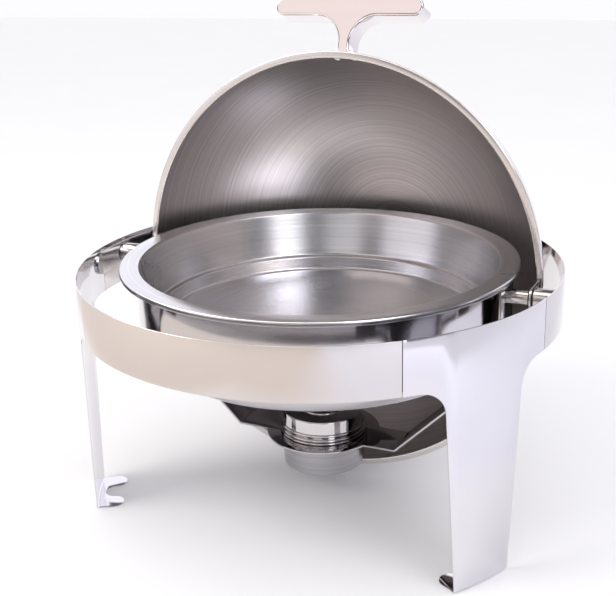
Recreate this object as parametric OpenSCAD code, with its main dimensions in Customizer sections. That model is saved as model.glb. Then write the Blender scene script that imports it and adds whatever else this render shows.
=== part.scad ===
// Roll top chafer: a round food warmer with a dome lid that rolls back on two side pivots.
// Origin: floor, under the centre of the round ring. +Z up, front is -Y, pivot axis along X.

/* [Food pan] */
// Diameter of the food pan over its flange
pan_d = 400; // [320:1:500]
// Width of the food pan's flat flange
flange_w = 19.5; // [12:0.5:28]
// Depth of the food pan
pan_depth = 65; // [50:1:75]
// Sheet of both pans
pan_t = 0.8; // [0.6:0.1:1.2]
// How far the flange stands above the pivot axis
flange_rise = 20.7; // [16:0.1:26]
// Turned-down lip at the flange's edge
lip_h = 4.7; // [3:0.1:7]
// Height of the food pan's lower step above its floor
step_h = 15; // [8:1:22]
// Width of the food pan's lower step
step_w = 6; // [3:0.5:10]
// How far the food pan's wall leans in down to the step
wall_lean = 12; // [6:1:20]

/* [Water pan] */
// Space between the food pan's floor and the water pan's floor
water_gap = 32.5; // [20:0.5:45]
// Radius of the water pan's bottom corner
water_corner = 30; // [20:1:40]
// Space between the food pan's wall top and the water pan's wall
water_wall_gap = 1.7; // [1:0.1:4]
// Step in from the food pan's lip to the water pan's edge
water_lip_gap = 1.2; // [0.8:0.1:2]

/* [Ring] */
// Height of the ring's band
band_h = 49; // [36:1:64]
// How far the band's top edge stands above the pivot axis
band_rise = 16; // [12:0.5:22]
// Sheet of the band and the legs
band_t = 1.2; // [0.8:0.1:2]
// Radial room between the lid and the ring
ring_gap = 19; // [15:0.1:26]
// Angle that each plain band covers
plain_span = 80; // [60:1:90]
// Open seam between two pieces of the ring
seam = 0.8; // [0.4:0.1:1.5]
// Width of a seam plate
seam_plate_w = 30; // [20:1:44]
// Sheet of the seam plates
seam_plate_t = 1; // [0.8:0.1:2]

/* [Legs] */
// Width of a leg under the band
leg_top_w = 91; // [60:1:110]
// Width of a leg at the floor
leg_foot_w = 65; // [50:1:80]
// Fillet between a leg and the band
leg_fillet = 25; // [12:1:30]
// Room between the rolling lid and the floor
floor_gap = 10; // [6:0.5:40]
// How far a foot reaches inwards
foot_reach = 28; // [22:1:36]
// Sheet of a foot
foot_t = 1.6; // [1:0.1:3]
// Width of the notch between a foot's two prongs
foot_notch_w = 21.5; // [14:0.5:28]

/* [Lid] */
// Radial room between the food pan's edge and the lid's outside
lid_gap = 22; // [18:0.5:30]
// Sheet of the lid
lid_t = 0.8; // [0.8:0.1:1.5]
// Height of the closed lid's rim above the pivot axis
rim_rise = 28; // [24:0.5:34]
// Width of the rolled rim
rim_w = 7; // [5:0.5:9]
// Thickness of the rolled rim
rim_h = 3; // [2:0.5:4]
// Angle that the lid stands open, 0 is closed
lid_open = 92; // [0:1:150]
// Width of a lid ear
ear_w = 22; // [20:1:28]
// Sheet of a lid ear
ear_t = 2; // [1.5:0.1:3]
// Length of the lid ear above the pivot axis
ear_len = 76; // [66:1:90]

/* [Handle] */
// Length of the handle's bar
bar_len = 161; // [120:1:200]
// Height of the handle's bar
bar_h = 19; // [14:0.5:24]
// Depth of the handle, front to back
handle_depth = 28; // [20:1:36]
// Reach of the handle's outer face from the lid
handle_reach = 59; // [48:1:70]
// Width of the handle's stem
stem_w = 12.4; // [10:0.2:18]
// Hollow arc between the stem and the bar
stem_arc = 27; // [18:1:30]
// Width of the handle's base
base_w = 32; // [28:1:44]
// Angle of the handle above the closed lid's rim
handle_elev = 18; // [12:1:30]
// Distance between the two handle screws
screw_pitch = 19.8; // [16:0.2:22]
// Diameter of the handle screws' shanks
screw_d = 5; // [4:0.5:6]

/* [Pivots] */
// Diameter of the hinge pins
pin_d = 8; // [6:0.2:10]
// Radial running clearance of a lid ear on its pin
pin_clear = 0.05; // [0.02:0.01:0.1]
// Diameter of the pivot bosses
boss_d = 21; // [18:0.5:26]
// Diameter of the spacer sleeves
sleeve_d = 14; // [12:0.5:18]
// Thickness of the friction washers
washer_t = 1.3; // [0.8:0.1:2]
// Side clearance of a lid ear between its washers
ear_clear = 0.1; // [0.05:0.05:0.3]
// Length of a spacer sleeve
sleeve_len = 21; // [16:0.5:26]
// Height of a reinforcing plate inside the ring
brace_h = 24; // [22:1:34]
// Sheet of a reinforcing plate
brace_t = 2.5; // [1.5:0.1:4]
// Angle that a reinforcing plate covers
brace_span = 22; // [16:1:30]

/* [Burner bracket] */
// Width of the strap and of the hangers
strap_w = 45; // [30:1:60]
// Sheet of the strap
strap_t = 2; // [1.5:0.1:3]
// Sheet of the hangers
hanger_t = 2.3; // [1.5:0.1:4]
// Distance from the centre to the strap's lower bend
knee_x = 89; // [70:1:110]
// Length of the strap's end that is riveted to the hanger
lap_h = 24; // [18:1:34]
// Flat ring of the plate around the fuel cup
plate_margin = 16.4; // [10:0.2:24]

/* [Fuel cup] */
// Diameter of the fuel cup
cup_d = 85.2; // [60:0.2:105]
// Depth of the fuel cup under the plate
cup_drop = 36; // [24:1:42]
// Radial room between the fuel cup's bottom edge and the lid
cup_lid_gap = 9.7; // [7:0.1:20]
// Radial clearance of the fuel cup in the plate
cup_clear = 0.8; // [0.5:0.1:2]
// Sheet of the fuel cup and its cover
cup_t = 0.8; // [0.6:0.1:1.2]
// Height of the cover above the plate
cover_h = 25; // [20:1:32]
// How far the ribs stand out
rib_out = 1.4; // [0.8:0.1:2.4]
// Diameter of the cover's opening
opening_d = 44; // [30:1:50]
// Sheet of the damper plate
damper_t = 1; // [0.8:0.1:1.6]
// Angle that the damper plate is swung away
damper_open = 110; // [0:5:150]

/* [Hidden] */
$fn = 96;

// colours
polished = [0.86, 0.86, 0.88];
satin = [0.70, 0.70, 0.72];
brushed = [0.55, 0.53, 0.52];
dark = [0.25, 0.24, 0.25];

// radii from the centre outwards
eps = 0.01;
pan_r = pan_d / 2;
lid_r = pan_r + lid_gap;
lid_in = lid_r - lid_t;
ring_in = lid_r + ring_gap;
ring_r = ring_in + band_t;
big = 3 * ring_r;

// heights above the floor; heights named rel_ are measured from the pivot axis
axle_z = lid_r + floor_gap;
band_top = axle_z + band_rise;
band_low = band_top - band_h;
rel_floor = flange_rise - pan_depth;
leg_span = 120 - plain_span;
seam_angle = seam / ring_r * 180 / PI;
seam_plate_inset = 4;
notch_root = 7;

// food pan
pan_in = pan_r - flange_w;
step_r = pan_in - wall_lean;
floor_r = step_r - step_w;
step_fillet = step_w / 2;

// water pan
water_r = pan_in + pan_t + water_wall_gap;
flange_gap = 0.1;
water_lip = 2.4;
water_top = flange_rise - pan_t - flange_gap;
water_floor = rel_floor - pan_t - water_gap;
water_edge = pan_r - pan_t - water_lip_gap;

// lid rim and ears
rim_stand = 0.4;
ear_inset = 2.8;
rim_out = sqrt(lid_r * lid_r - pow(rim_rise + rim_h / 2, 2)) + rim_stand;
rim_in = rim_out - rim_w;
ear_out = rim_out - ear_inset;
ear_in = ear_out - ear_t;
ear_meet = sqrt(lid_in * lid_in - ear_out * ear_out);
ear_slot = 0.5;

// handle
base_rise = 4.5;
base_sink = 4;
screw_depth = 3.4;
screw_end_gap = 0.2;

// pivot stacks, along X from the centre outwards
pin_r = pin_d / 2;
sleeve_out = ear_in - ear_clear - washer_t;
sleeve_in = sleeve_out - sleeve_len;
hanger_x = sleeve_in - hanger_t;
nut_h_share = 0.62;
nut_w_share = 1.6;
nut_h = pin_d * nut_h_share;
nut_d = pin_d * nut_w_share / cos(30);
pin_stand = 0.6;
boss_in = ear_out + ear_clear + washer_t;
washer_step = 1.5;
washer_r = boss_d / 2 - washer_step;

// burner bracket, measured from the pivot axis
cup_r = cup_d / 2;
cup_reach = lid_in - cup_lid_gap;
cup_floor = -sqrt(cup_reach * cup_reach - cup_r * cup_r);
plate_top = cup_floor + cup_drop;
plate_r = cup_r + cup_clear + plate_margin;
lap_x = hanger_x - strap_t;
slope_top = plate_top + lap_x - knee_x;
rivet_r = 2.4;
rivet_head_r = 4;
rivet_head_h = 1.6;
hanger_tail = 4;

// fuel cup cover and damper, measured from the pivot axis
bead_h = 2.4;
bead_out = 1.6;
neck_gap = 0.5;
neck_share = 0.6;
neck_r = cup_r - cup_t - neck_gap;
cover_low = plate_top + bead_h + 0.1;
cover_top = plate_top + cover_h;
cover_r = cup_r;
collar_h = 1.2;
collar_t = 1.6;
rib_pitch = 3.2;
damper_lap = 3;
damper_r = opening_d / 2 + damper_lap;
damper_arm = opening_d / 2 + 12;
damper_z = cover_top + collar_h + 0.1;
damper_pin_r = 2;
damper_head_r = 3.6;
damper_head_h = 1.2;
damper_boss_r = 6;
arm_w = 10;
tab_out = 4;
tab_h = 7;

// ---- helpers ----

// Wedge of a thin ring, centred on the angle "at" (0 is the front, positive to the right)
module arc_sheet(inner, thick, low, high, at, span) {
  rotate([0, 0, at - 90 - span / 2])
    rotate_extrude(angle = span, $fn = 180)
      translate([inner, low]) square([thick, high - low]);
}

// Puts a shape that faces +X at the angle "at" (0 is the front, positive to the right)
module face(at) {
  rotate([0, 0, at - 90]) children();
}

// Right-hand pivot parts lie along +X; the left ones are their mirror image
module at_side(side) {
  translate([0, 0, axle_z])
    mirror([side > 0 ? 0 : 1, 0, 0]) children();
}

// Cylinder along +X from x0 to x1
module bar_x(x0, x1, r) {
  translate([x0, 0, 0]) rotate([0, 90, 0]) cylinder(r = r, h = x1 - x0);
}

// Carries a shape of the closed lid, drawn from the pivot axis, to where the lid stands open
module on_lid() {
  translate([0, 0, axle_z]) rotate([-lid_open, 0, 0]) children();
}

// ---- ring and legs ----

module plain_band(at) {
  color(polished)
    arc_sheet(ring_in, band_t, band_low, band_top, at, plain_span - seam_angle);
}

// Flat outline of a leg panel, hanging under its piece of band; x is along the ring
module leg_outline() {
  half_top = leg_top_w / 2;
  half_foot = leg_foot_w / 2;
  lean = atan((half_top - half_foot) / band_low);
  fillet_x = half_top + leg_fillet * (1 - sin(lean)) / cos(lean);
  fillet_y = band_low - leg_fillet;
  translate([-ring_r, band_low]) square([2 * ring_r, band_h]);
  polygon([[-half_top, band_low + 1], [-half_foot, 0], [half_foot, 0], [half_top, band_low + 1]]);
  for (s = [-1, 1])
    mirror([s > 0 ? 0 : 1, 0])
      difference() {
        polygon([
          [half_top - 1, band_low + 1], [fillet_x, band_low + 1], [fillet_x, fillet_y],
          [fillet_x - leg_fillet * cos(lean), fillet_y + leg_fillet * sin(lean)],
          [half_top - 6, fillet_y]
        ]);
        translate([fillet_x, fillet_y]) circle(r = leg_fillet);
      }
}

// Foot bent inwards at the bottom of a leg: two round-ended prongs with a notch between them
module foot_plate() {
  tip = ring_in - foot_reach;
  half = leg_foot_w / 2;
  prong_r = (half - foot_notch_w / 2) / 2;
  prong_y = half - prong_r;
  notch_r = foot_notch_w / 2;
  root = ring_in - notch_root;
  intersection() {
    linear_extrude(foot_t)
      difference() {
        union() {
          translate([tip + prong_r, -half]) square([ring_r - tip, 2 * half]);
          for (s = [-1, 1]) translate([tip + prong_r, s * prong_y]) circle(r = prong_r);
        }
        translate([root - notch_r, 0]) circle(r = notch_r);
        translate([tip - 1, -notch_r]) square([root - notch_r - tip + 1, 2 * notch_r]);
      }
    cylinder(r = ring_in + band_t / 2, h = 2 * foot_t, center = true, $fn = 180);
  }
}

module leg(at) {
  color(polished)
    face(at) {
      intersection() {
        rotate([0, 0, -(leg_span - seam_angle) / 2])
          rotate_extrude(angle = leg_span - seam_angle, $fn = 180)
            translate([ring_in, 0]) square([band_t, band_top]);
        translate([big / 2, 0, 0]) rotate([90, 0, 90])
          linear_extrude(big, center = true) leg_outline();
      }
      foot_plate();
    }
}

module seam_plates() {
  plate_angle = seam_plate_w / ring_in * 180 / PI;
  half_leg = leg_span / 2;
  color(satin)
    for (at = [60 - half_leg, half_leg - 60, 180 - half_leg, half_leg - 180])
      arc_sheet(ring_in - seam_plate_t, seam_plate_t, band_low + seam_plate_inset,
        band_top - seam_plate_inset, at, plate_angle);
}

// ---- pivots ----

// Plate with round ends inside the ring; it carries the boss and bridges the nearest seam
module brace(side) {
  reach = ring_in * sin(brace_span / 2);
  color(satin)
    at_side(side)
      difference() {
        intersection() {
          rotate([0, 90, 0])
            linear_extrude(ring_r)
              union() {
                translate([-brace_h / 2, -reach]) square([brace_h, 2 * reach]);
                for (s = [-1, 1]) translate([0, s * reach]) circle(r = brace_h / 2);
              }
          difference() {
            cylinder(r = ring_in, h = big, center = true, $fn = 180);
            cylinder(r = ring_in - brace_t, h = big, center = true, $fn = 180);
          }
        }
        bar_x(0, ring_r, pin_r);
      }
}

module boss(side) {
  color(polished)
    at_side(side)
      difference() {
        intersection() {
          bar_x(boss_in, ring_r, boss_d / 2);
          cylinder(r = ring_in - brace_t, h = big, center = true, $fn = 180);
        }
        bar_x(0, ring_r, pin_r);
      }
}

module hinge_pin(side) {
  color(satin)
    at_side(side)
      intersection() {
        bar_x(hanger_x - nut_h - pin_stand, ring_r, pin_r);
        cylinder(r = ring_in, h = big, center = true, $fn = 180);
      }
}

module washer(x0) {
  difference() {
    bar_x(x0, x0 + washer_t, washer_r);
    bar_x(x0 - 1, x0 + washer_t + 1, pin_r);
  }
}

module friction_washers() {
  color(dark)
    for (side = [-1, 1])
      at_side(side) {
        washer(sleeve_out);
        washer(boss_in - washer_t);
      }
}

module sleeve(side) {
  color(polished)
    at_side(side)
      difference() {
        bar_x(sleeve_in, sleeve_out, sleeve_d / 2);
        bar_x(sleeve_in - 1, sleeve_out + 1, pin_r);
      }
}

module hinge_nuts() {
  color(satin)
    for (side = [-1, 1])
      at_side(side)
        difference() {
          translate([hanger_x - nut_h, 0, 0]) rotate([0, 90, 0])
            cylinder(d = nut_d, h = nut_h, $fn = 6);
          bar_x(0, ring_r, pin_r);
        }
}

// ---- hangers and burner bracket ----

module rivet_places() {
  for (y = [-1, 1]) translate([0, y * strap_w / 4, slope_top + lap_h / 2]) children();
}

module hanger(side) {
  low = slope_top - hanger_tail;
  high = water_top - pan_t;
  color(polished)
    at_side(side)
      difference() {
        translate([hanger_x, -strap_w / 2, low]) cube([hanger_t, strap_w, high - low]);
        bar_x(0, ring_r, pin_r);
        rivet_places() bar_x(hanger_x - 1, sleeve_in + 1, rivet_r);
      }
}

module strap_rivets() {
  color(satin)
    for (side = [-1, 1])
      at_side(side)
        rivet_places() {
          bar_x(lap_x - rivet_head_h, sleeve_in + rivet_head_h, rivet_r);
          bar_x(lap_x - rivet_head_h, lap_x, rivet_head_r);
          bar_x(sleeve_in, sleeve_in + rivet_head_h, rivet_head_r);
        }
}

// Side view of one half of the strap, x outwards, y up from the pivot axis
module strap_side() {
  bend = strap_t * (sqrt(2) - 1);
  plate_low = plate_top - strap_t;
  polygon([
    [0, plate_low], [knee_x, plate_low], [lap_x + strap_t, slope_top - bend],
    [lap_x + strap_t, slope_top + lap_h], [lap_x, slope_top + lap_h], [lap_x, slope_top],
    [knee_x - bend, plate_top], [0, plate_top]
  ]);
}

module burner_bracket() {
  color(polished)
    translate([0, 0, axle_z])
      difference() {
        union() {
          for (side = [0, 1])
            mirror([side, 0, 0])
              rotate([90, 0, 0]) linear_extrude(strap_w, center = true) strap_side();
          translate([0, 0, plate_top - strap_t]) cylinder(r = plate_r, h = strap_t);
        }
        translate([0, 0, plate_top - strap_t - 1])
          cylinder(r = cup_r + cup_clear, h = strap_t + 2);
        for (side = [0, 1])
          mirror([side, 0, 0])
            rivet_places() bar_x(lap_x - 1, hanger_x + 1, rivet_r);
      }
}

// ---- pans ----

// Half section of a pan drawn as a solid, down to "low"; the inside is cut by a smaller one
module water_outline(inset) {
  r = water_r - inset;
  corner = water_corner - inset;
  low = water_floor + inset;
  union() {
    translate([0, low]) square([r - corner, corner + 1]);
    translate([0, low + corner]) square([r, water_top - low - corner]);
    translate([r - corner, low + corner]) circle(r = corner);
  }
}

module water_pan() {
  color(satin)
    translate([0, 0, axle_z])
      rotate_extrude($fn = 180)
        intersection() {
          difference() {
            union() {
              water_outline(-pan_t);
              translate([water_r, water_top - pan_t]) square([water_edge - water_r, pan_t]);
              translate([water_edge - pan_t, water_top - water_lip]) square([pan_t, water_lip]);
            }
            water_outline(0);
            translate([0, water_top - 0.2]) square([water_r, 1]);
          }
          translate([0, water_floor - 2]) square([big, water_top - water_floor + 2]);
        }
}

// Half section of the food pan's inside, "grow" is the sheet around it
module food_outline(grow) {
  low = rel_floor - grow;
  step_y = rel_floor + step_h;
  union() {
    polygon([
      [0, low], [floor_r + grow - step_fillet, low], [floor_r + grow, low + step_fillet],
      [floor_r + grow, step_y - step_fillet - grow], [floor_r + grow + step_fillet, step_y - grow],
      [step_r + grow, step_y - grow + step_fillet], [pan_in + grow, flange_rise],
      [0, flange_rise]
    ]);
    translate([floor_r + grow - step_fillet, low + step_fillet]) circle(r = step_fillet);
  }
}

module food_pan() {
  edge = 1.6;
  color(satin)
    translate([0, 0, axle_z])
      rotate_extrude($fn = 180)
        difference() {
          union() {
            intersection() {
              food_outline(pan_t);
              translate([0, rel_floor - 2]) square([big, pan_depth + 2]);
            }
            translate([pan_in, flange_rise - pan_t]) square([pan_r - pan_in - edge, pan_t]);
            translate([pan_r - pan_t, flange_rise - lip_h]) square([pan_t, lip_h - edge]);
            intersection() {
              translate([pan_r - edge, flange_rise - edge])
                difference() {
                  circle(r = edge);
                  circle(r = edge - pan_t);
                }
              translate([pan_r - edge, flange_rise - edge]) square([edge, edge]);
            }
          }
          food_outline(0);
          translate([0, flange_rise - eps]) square([pan_in, 1]);
        }
}

// ---- lid ----

module lid_dome() {
  mid = rim_rise + rim_h / 2;
  color(brushed)
    on_lid()
      difference() {
        rotate_extrude($fn = 180)
          union() {
            intersection() {
              difference() {
                circle(r = lid_r);
                circle(r = lid_in);
              }
              translate([0, mid]) square([lid_r + 1, lid_r + 1]);
            }
            translate([rim_in + rim_h / 2, rim_rise]) square([rim_w - rim_h, rim_h]);
            for (x = [rim_in, rim_out - rim_h])
              translate([x + rim_h / 2, mid]) circle(r = rim_h / 2);
          }
        for (s = [-1, 1])
          translate([s * (ear_out + ear_slot), 0, mid])
            translate([-s * rim_w / 2, 0, 0])
              cube([rim_w, ear_w + 2 * ear_slot, rim_h + 2 * ear_slot], center = true);
        for (s = [-1, 1]) screw_axis(s) cylinder(r = screw_d / 2, h = 2 * lid_r);
      }
}

// Strap from the pivot up to the lid, then along the inside of the dome
module lid_ear(side) {
  color(polished)
    on_lid()
      mirror([side > 0 ? 0 : 1, 0, 0])
        difference() {
          union() {
            intersection() {
              union() {
                bar_x(ear_in, ear_out, ear_w / 2);
                translate([ear_in, -ear_w / 2, 0]) cube([ear_t, ear_w, ear_meet + 10]);
              }
              sphere(r = lid_in, $fn = 180);
            }
            intersection() {
              difference() {
                sphere(r = lid_in, $fn = 180);
                sphere(r = lid_in - ear_t, $fn = 180);
              }
              translate([0, -ear_w / 2, ear_meet]) cube([lid_r, ear_w, ear_len - ear_meet]);
            }
          }
          bar_x(0, ring_r, pin_r + pin_clear);
        }
}

// Stands a shape that is drawn in X and Y, with Y away from the lid's centre, on the lid's front
module on_handle_axis() {
  rotate([180 - handle_elev, 0, 0]) children();
}

// Axis of one handle screw, pointing outwards from the lid's centre plane
module screw_axis(s) {
  on_handle_axis() translate([s * screw_pitch / 2, 0, 0]) rotate([-90, 0, 0]) children();
}

module handle_outline() {
  top = lid_r + handle_reach;
  under = top - bar_h;
  end_r = bar_h / 2;
  arc_x = stem_w / 2 + stem_arc;
  translate([-stem_w / 2, lid_r - base_sink]) square([stem_w, top - lid_r]);
  translate([-bar_len / 2 + end_r, under]) square([bar_len - bar_h, bar_h]);
  for (s = [-1, 1]) {
    translate([s * (bar_len / 2 - end_r), under + end_r]) circle(r = end_r);
    mirror([s > 0 ? 0 : 1, 0])
      difference() {
        translate([0, under - stem_arc]) square([arc_x, stem_arc + 1]);
        translate([arc_x, under - stem_arc]) circle(r = stem_arc);
      }
  }
  translate([-base_w / 2, lid_r - base_sink]) square([base_w, base_rise + base_sink]);
}

module lid_handle() {
  color(polished)
    on_lid()
      difference() {
        on_handle_axis() linear_extrude(handle_depth, center = true) handle_outline();
        sphere(r = lid_r, $fn = 180);
        for (s = [-1, 1]) screw_axis(s) cylinder(r = screw_d / 2, h = lid_r + screw_depth + screw_end_gap);
      }
}

module handle_screws() {
  head_r = screw_d * 0.92;
  head_h = 2.4;
  head_edge = 0.8;
  crown_r = head_r * 1.7;
  crown_z = head_r * 1.4;
  seat = sqrt(lid_in * lid_in - pow(screw_pitch / 2 + head_r, 2)) - 0.1;
  color(satin)
    on_lid()
      for (s = [-1, 1])
        screw_axis(s) {
          translate([0, 0, seat - head_edge])
            cylinder(r = screw_d / 2, h = lid_r + screw_depth - seat + head_edge);
          translate([0, 0, seat - head_edge]) cylinder(r = head_r, h = head_edge);
          intersection() {
            translate([0, 0, seat - head_edge + crown_z]) sphere(r = crown_r);
            translate([0, 0, seat - head_h]) cylinder(r = head_r, h = head_h - head_edge);
          }
        }
}

// ---- fuel cup ----

module fuel_cup() {
  bead_r = cup_r + cup_clear + bead_out;
  color(satin)
    translate([0, 0, axle_z])
      difference() {
        union() {
          translate([0, 0, cup_floor]) cylinder(r = cup_r, h = cup_drop);
          translate([0, 0, plate_top]) cylinder(r = bead_r, h = bead_h);
          translate([0, 0, plate_top]) cylinder(r = neck_r, h = cover_h * neck_share);
        }
        translate([0, 0, cup_floor + cup_t])
          cylinder(r = neck_r - cup_t, h = cup_drop + cover_h);
      }
}

module fuel_cover() {
  rib = rib_out * 1.2;
  color(polished)
    translate([0, 0, axle_z])
      difference() {
        union() {
          translate([0, 0, cover_low]) cylinder(r = cover_r, h = cover_top - cover_low);
          for (k = [0, 1])
            translate([0, 0, cover_low + rib + k * rib_pitch * rib])
              rotate_extrude() translate([cover_r, 0]) circle(r = rib, $fn = 32);
          translate([0, 0, cover_top - eps])
            cylinder(r = opening_d / 2 + collar_t, h = collar_h + eps);
        }
        translate([0, 0, cover_low - 1])
          cylinder(r = cover_r - cup_t, h = cover_top - cover_low + 1 - cup_t);
        cylinder_at(opening_d / 2, cover_top);
        translate([0, damper_arm, 0]) cylinder_at(damper_pin_r, cover_top);
      }
}

// Hole of radius r through a sheet at the height z
module cylinder_at(r, z) {
  translate([0, 0, z - 4]) cylinder(r = r, h = 8);
}

module damper_rivet() {
  color(satin)
    translate([0, damper_arm, axle_z]) {
      translate([0, 0, cover_top - cup_t - 1]) cylinder(r = damper_head_r, h = 1);
      translate([0, 0, cover_top - cup_t - eps])
        cylinder(r = damper_pin_r, h = damper_z + damper_t + 0.2 - cover_top + cup_t + eps);
      translate([0, 0, damper_z + damper_t + 0.1]) cylinder(r = damper_head_r, h = damper_head_h);
      translate([0, 0, cover_top]) cylinder(r = damper_head_r, h = collar_h);
    }
}

module damper_plate() {
  color(dark)
    translate([0, damper_arm, axle_z + damper_z])
      rotate([0, 0, damper_open])
        difference() {
          union() {
            translate([0, -damper_arm, 0]) cylinder(r = damper_r, h = damper_t);
            translate([-arm_w / 2, -damper_arm, 0]) cube([arm_w, damper_arm, damper_t]);
            cylinder(r = damper_boss_r, h = damper_t);
            translate([-arm_w / 2, -damper_arm - damper_r - tab_out, 0]) {
              cube([arm_w, 2 * tab_out, damper_t]);
              cube([arm_w, damper_t, tab_h]);
            }
          }
          translate([0, 0, -1]) cylinder(r = damper_pin_r + pin_clear, h = damper_t + 2);
        }
}

plain_band(0);  // front_band
plain_band(120);  // right_rear_band
plain_band(-120);  // left_rear_band
leg(60);  // front_right_leg
leg(-60);  // front_left_leg
leg(180);  // rear_leg
seam_plates();
brace(1);  // right_brace
brace(-1);  // left_brace
boss(1);  // right_boss
boss(-1);  // left_boss
hinge_pin(1);  // right_hinge_pin
hinge_pin(-1);  // left_hinge_pin
friction_washers();
sleeve(1);  // right_sleeve
sleeve(-1);  // left_sleeve
hanger(1);  // right_hanger
hanger(-1);  // left_hanger
hinge_nuts();
strap_rivets();
burner_bracket();
water_pan();
food_pan();
lid_dome();
lid_ear(1);  // right_lid_ear
lid_ear(-1);  // left_lid_ear
lid_handle();
handle_screws();
fuel_cup();
fuel_cover();
damper_rivet();
damper_plate();
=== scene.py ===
import logging
import math
from contextlib import contextmanager
from dataclasses import dataclass, field
from enum import Enum
from typing import Callable, Iterator, Sequence

import bmesh
import bpy
from mathutils import Matrix, Vector


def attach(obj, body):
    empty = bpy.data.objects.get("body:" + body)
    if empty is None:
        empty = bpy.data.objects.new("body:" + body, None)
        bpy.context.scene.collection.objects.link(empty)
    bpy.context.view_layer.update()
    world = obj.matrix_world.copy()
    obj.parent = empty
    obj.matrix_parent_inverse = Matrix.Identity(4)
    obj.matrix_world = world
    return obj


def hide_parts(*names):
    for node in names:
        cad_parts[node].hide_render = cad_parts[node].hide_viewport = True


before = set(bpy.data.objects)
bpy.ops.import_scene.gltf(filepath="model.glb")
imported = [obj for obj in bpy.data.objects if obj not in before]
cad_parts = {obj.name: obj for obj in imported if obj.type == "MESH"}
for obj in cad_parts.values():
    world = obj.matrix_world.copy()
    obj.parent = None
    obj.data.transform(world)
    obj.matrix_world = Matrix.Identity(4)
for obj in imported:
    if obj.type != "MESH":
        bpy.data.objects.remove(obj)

Piece = bpy.types.Object
Point2 = tuple[float, float]
Corner = tuple[float, float, float]

log = logging.getLogger("roll_top_chafer")

AXLE = 232.0  # height of the two lid pivots above the floor, mm
LID_OPEN = 92.0  # how far the lid stands rolled back at rest, degrees
PAN_R = 200.0  # food pan over its flange, mm
LID_R = PAN_R + 22.0  # dome's outside, with room to roll round the pans, mm
RING_IN = LID_R + 19.0  # inside of the ring, with room for the dome, mm
SHEET = 0.8  # sheet of the lid, the pans and the fuel cup, mm
HANGER_IN = 190.9  # inner face of the hangers along X, mm
HANGER_T = 2.3  # sheet of the hangers, mm
EAR_IN = 215.6  # inner face of the lid ears along X, mm
EAR_T = 2.0  # sheet of the lid ears, mm
BURNER_TOP = -171.2  # top of the burner's round plate from the pivots, mm


class Body(str, Enum):
    """The parts of the chafer that move against each other."""

    STAND = "stand"
    LID = "lid"
    FOOD_PAN = "food_pan"
    FUEL_UNIT = "fuel_unit"
    DAMPER = "damper"


class Axis(Enum):
    """The line that a turned piece is spun about."""

    UPRIGHT = (0.0, 0.0, 1.0)
    PIVOT = (1.0, 0.0, 0.0)


# ---------------------------------------------------------------- outlines


def arc(centre: Point2, radius: float, start: float, end: float, steps: int) -> list[Point2]:
    """Give points along an arc.

    Args:
        centre: Middle of the circle, mm.
        radius: Radius, mm.
        start: First angle, degrees, anticlockwise from the first axis.
        end: Last angle, degrees.
        steps: Number of straight steps.

    Returns:
        The points, both ends included.
    """
    angles = [math.radians(start + (end - start) * k / steps) for k in range(steps + 1)]
    return [(centre[0] + radius * math.cos(a), centre[1] + radius * math.sin(a)) for a in angles]


def rounded(corners: Sequence[Corner], closed: bool = False, steps: int = 6) -> list[Point2]:
    """Round the corners of an outline.

    Args:
        corners: Corners in order, each with its fillet radius, mm. A radius of 0 stays sharp.
        closed: Whether the last corner is joined to the first.
        steps: Straight steps in each fillet.

    Returns:
        The outline's points.
    """
    out: list[Point2] = []
    count = len(corners)
    for i, (x, y, radius) in enumerate(corners):
        here = Vector((x, y))
        if radius <= 0 or (not closed and i in (0, count - 1)):
            out.append((x, y))
            continue
        before = Vector(corners[i - 1][:2]) - here
        after = Vector(corners[(i + 1) % count][:2]) - here
        before.normalize()
        after.normalize()
        half = math.acos(max(-1.0, min(1.0, before.dot(after)))) / 2
        if abs(half - math.pi / 2) < 1e-4:
            out.append((x, y))
            continue
        reach = radius / math.tan(half)
        middle = here + (before + after).normalized() * (radius / math.sin(half))
        first = here + before * reach - middle
        last = here + after * reach - middle
        turn = first.angle_signed(last)
        for k in range(steps + 1):
            spoke = first.copy()
            spoke.rotate(Matrix.Rotation(-turn * k / steps, 2))
            out.append((middle.x + spoke.x, middle.y + spoke.y))
    return out


# ---------------------------------------------------------------- bench work


def clear_selection() -> None:
    """Leave nothing selected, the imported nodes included."""
    if bpy.context.mode != "OBJECT":
        bpy.ops.object.mode_set(mode="OBJECT")
    bpy.ops.object.select_all(action="DESELECT")


def pick(piece: Piece) -> None:
    """Select one piece alone and make it active.

    Args:
        piece: The piece to select.
    """
    clear_selection()
    piece.select_set(True)
    bpy.context.view_layer.objects.active = piece


@contextmanager
def editing(piece: Piece, mode: str = "VERT") -> Iterator[None]:
    """Open a piece in edit mode with everything selected.

    Args:
        piece: The piece to open.
        mode: Selection mode, VERT, EDGE or FACE.

    Yields:
        Nothing, while edit mode is open.
    """
    pick(piece)
    bpy.ops.object.mode_set(mode="EDIT")
    bpy.ops.mesh.select_mode(type=mode)
    bpy.ops.mesh.select_all(action="SELECT")
    yield
    bpy.ops.object.mode_set(mode="OBJECT")


def select_verts(piece: Piece, test: Callable[[Vector], bool]) -> None:
    """Select the corners of the open piece that lie where the test says.

    Args:
        piece: The piece that is open in edit mode.
        test: Says, from a corner's place in mm, whether to select it.
    """
    mesh = bmesh.from_edit_mesh(piece.data)
    bpy.ops.mesh.select_all(action="DESELECT")
    for vert in mesh.verts:
        vert.select_set(test(vert.co * 1000))
    mesh.select_flush(True)
    bmesh.update_edit_mesh(piece.data)


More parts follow.
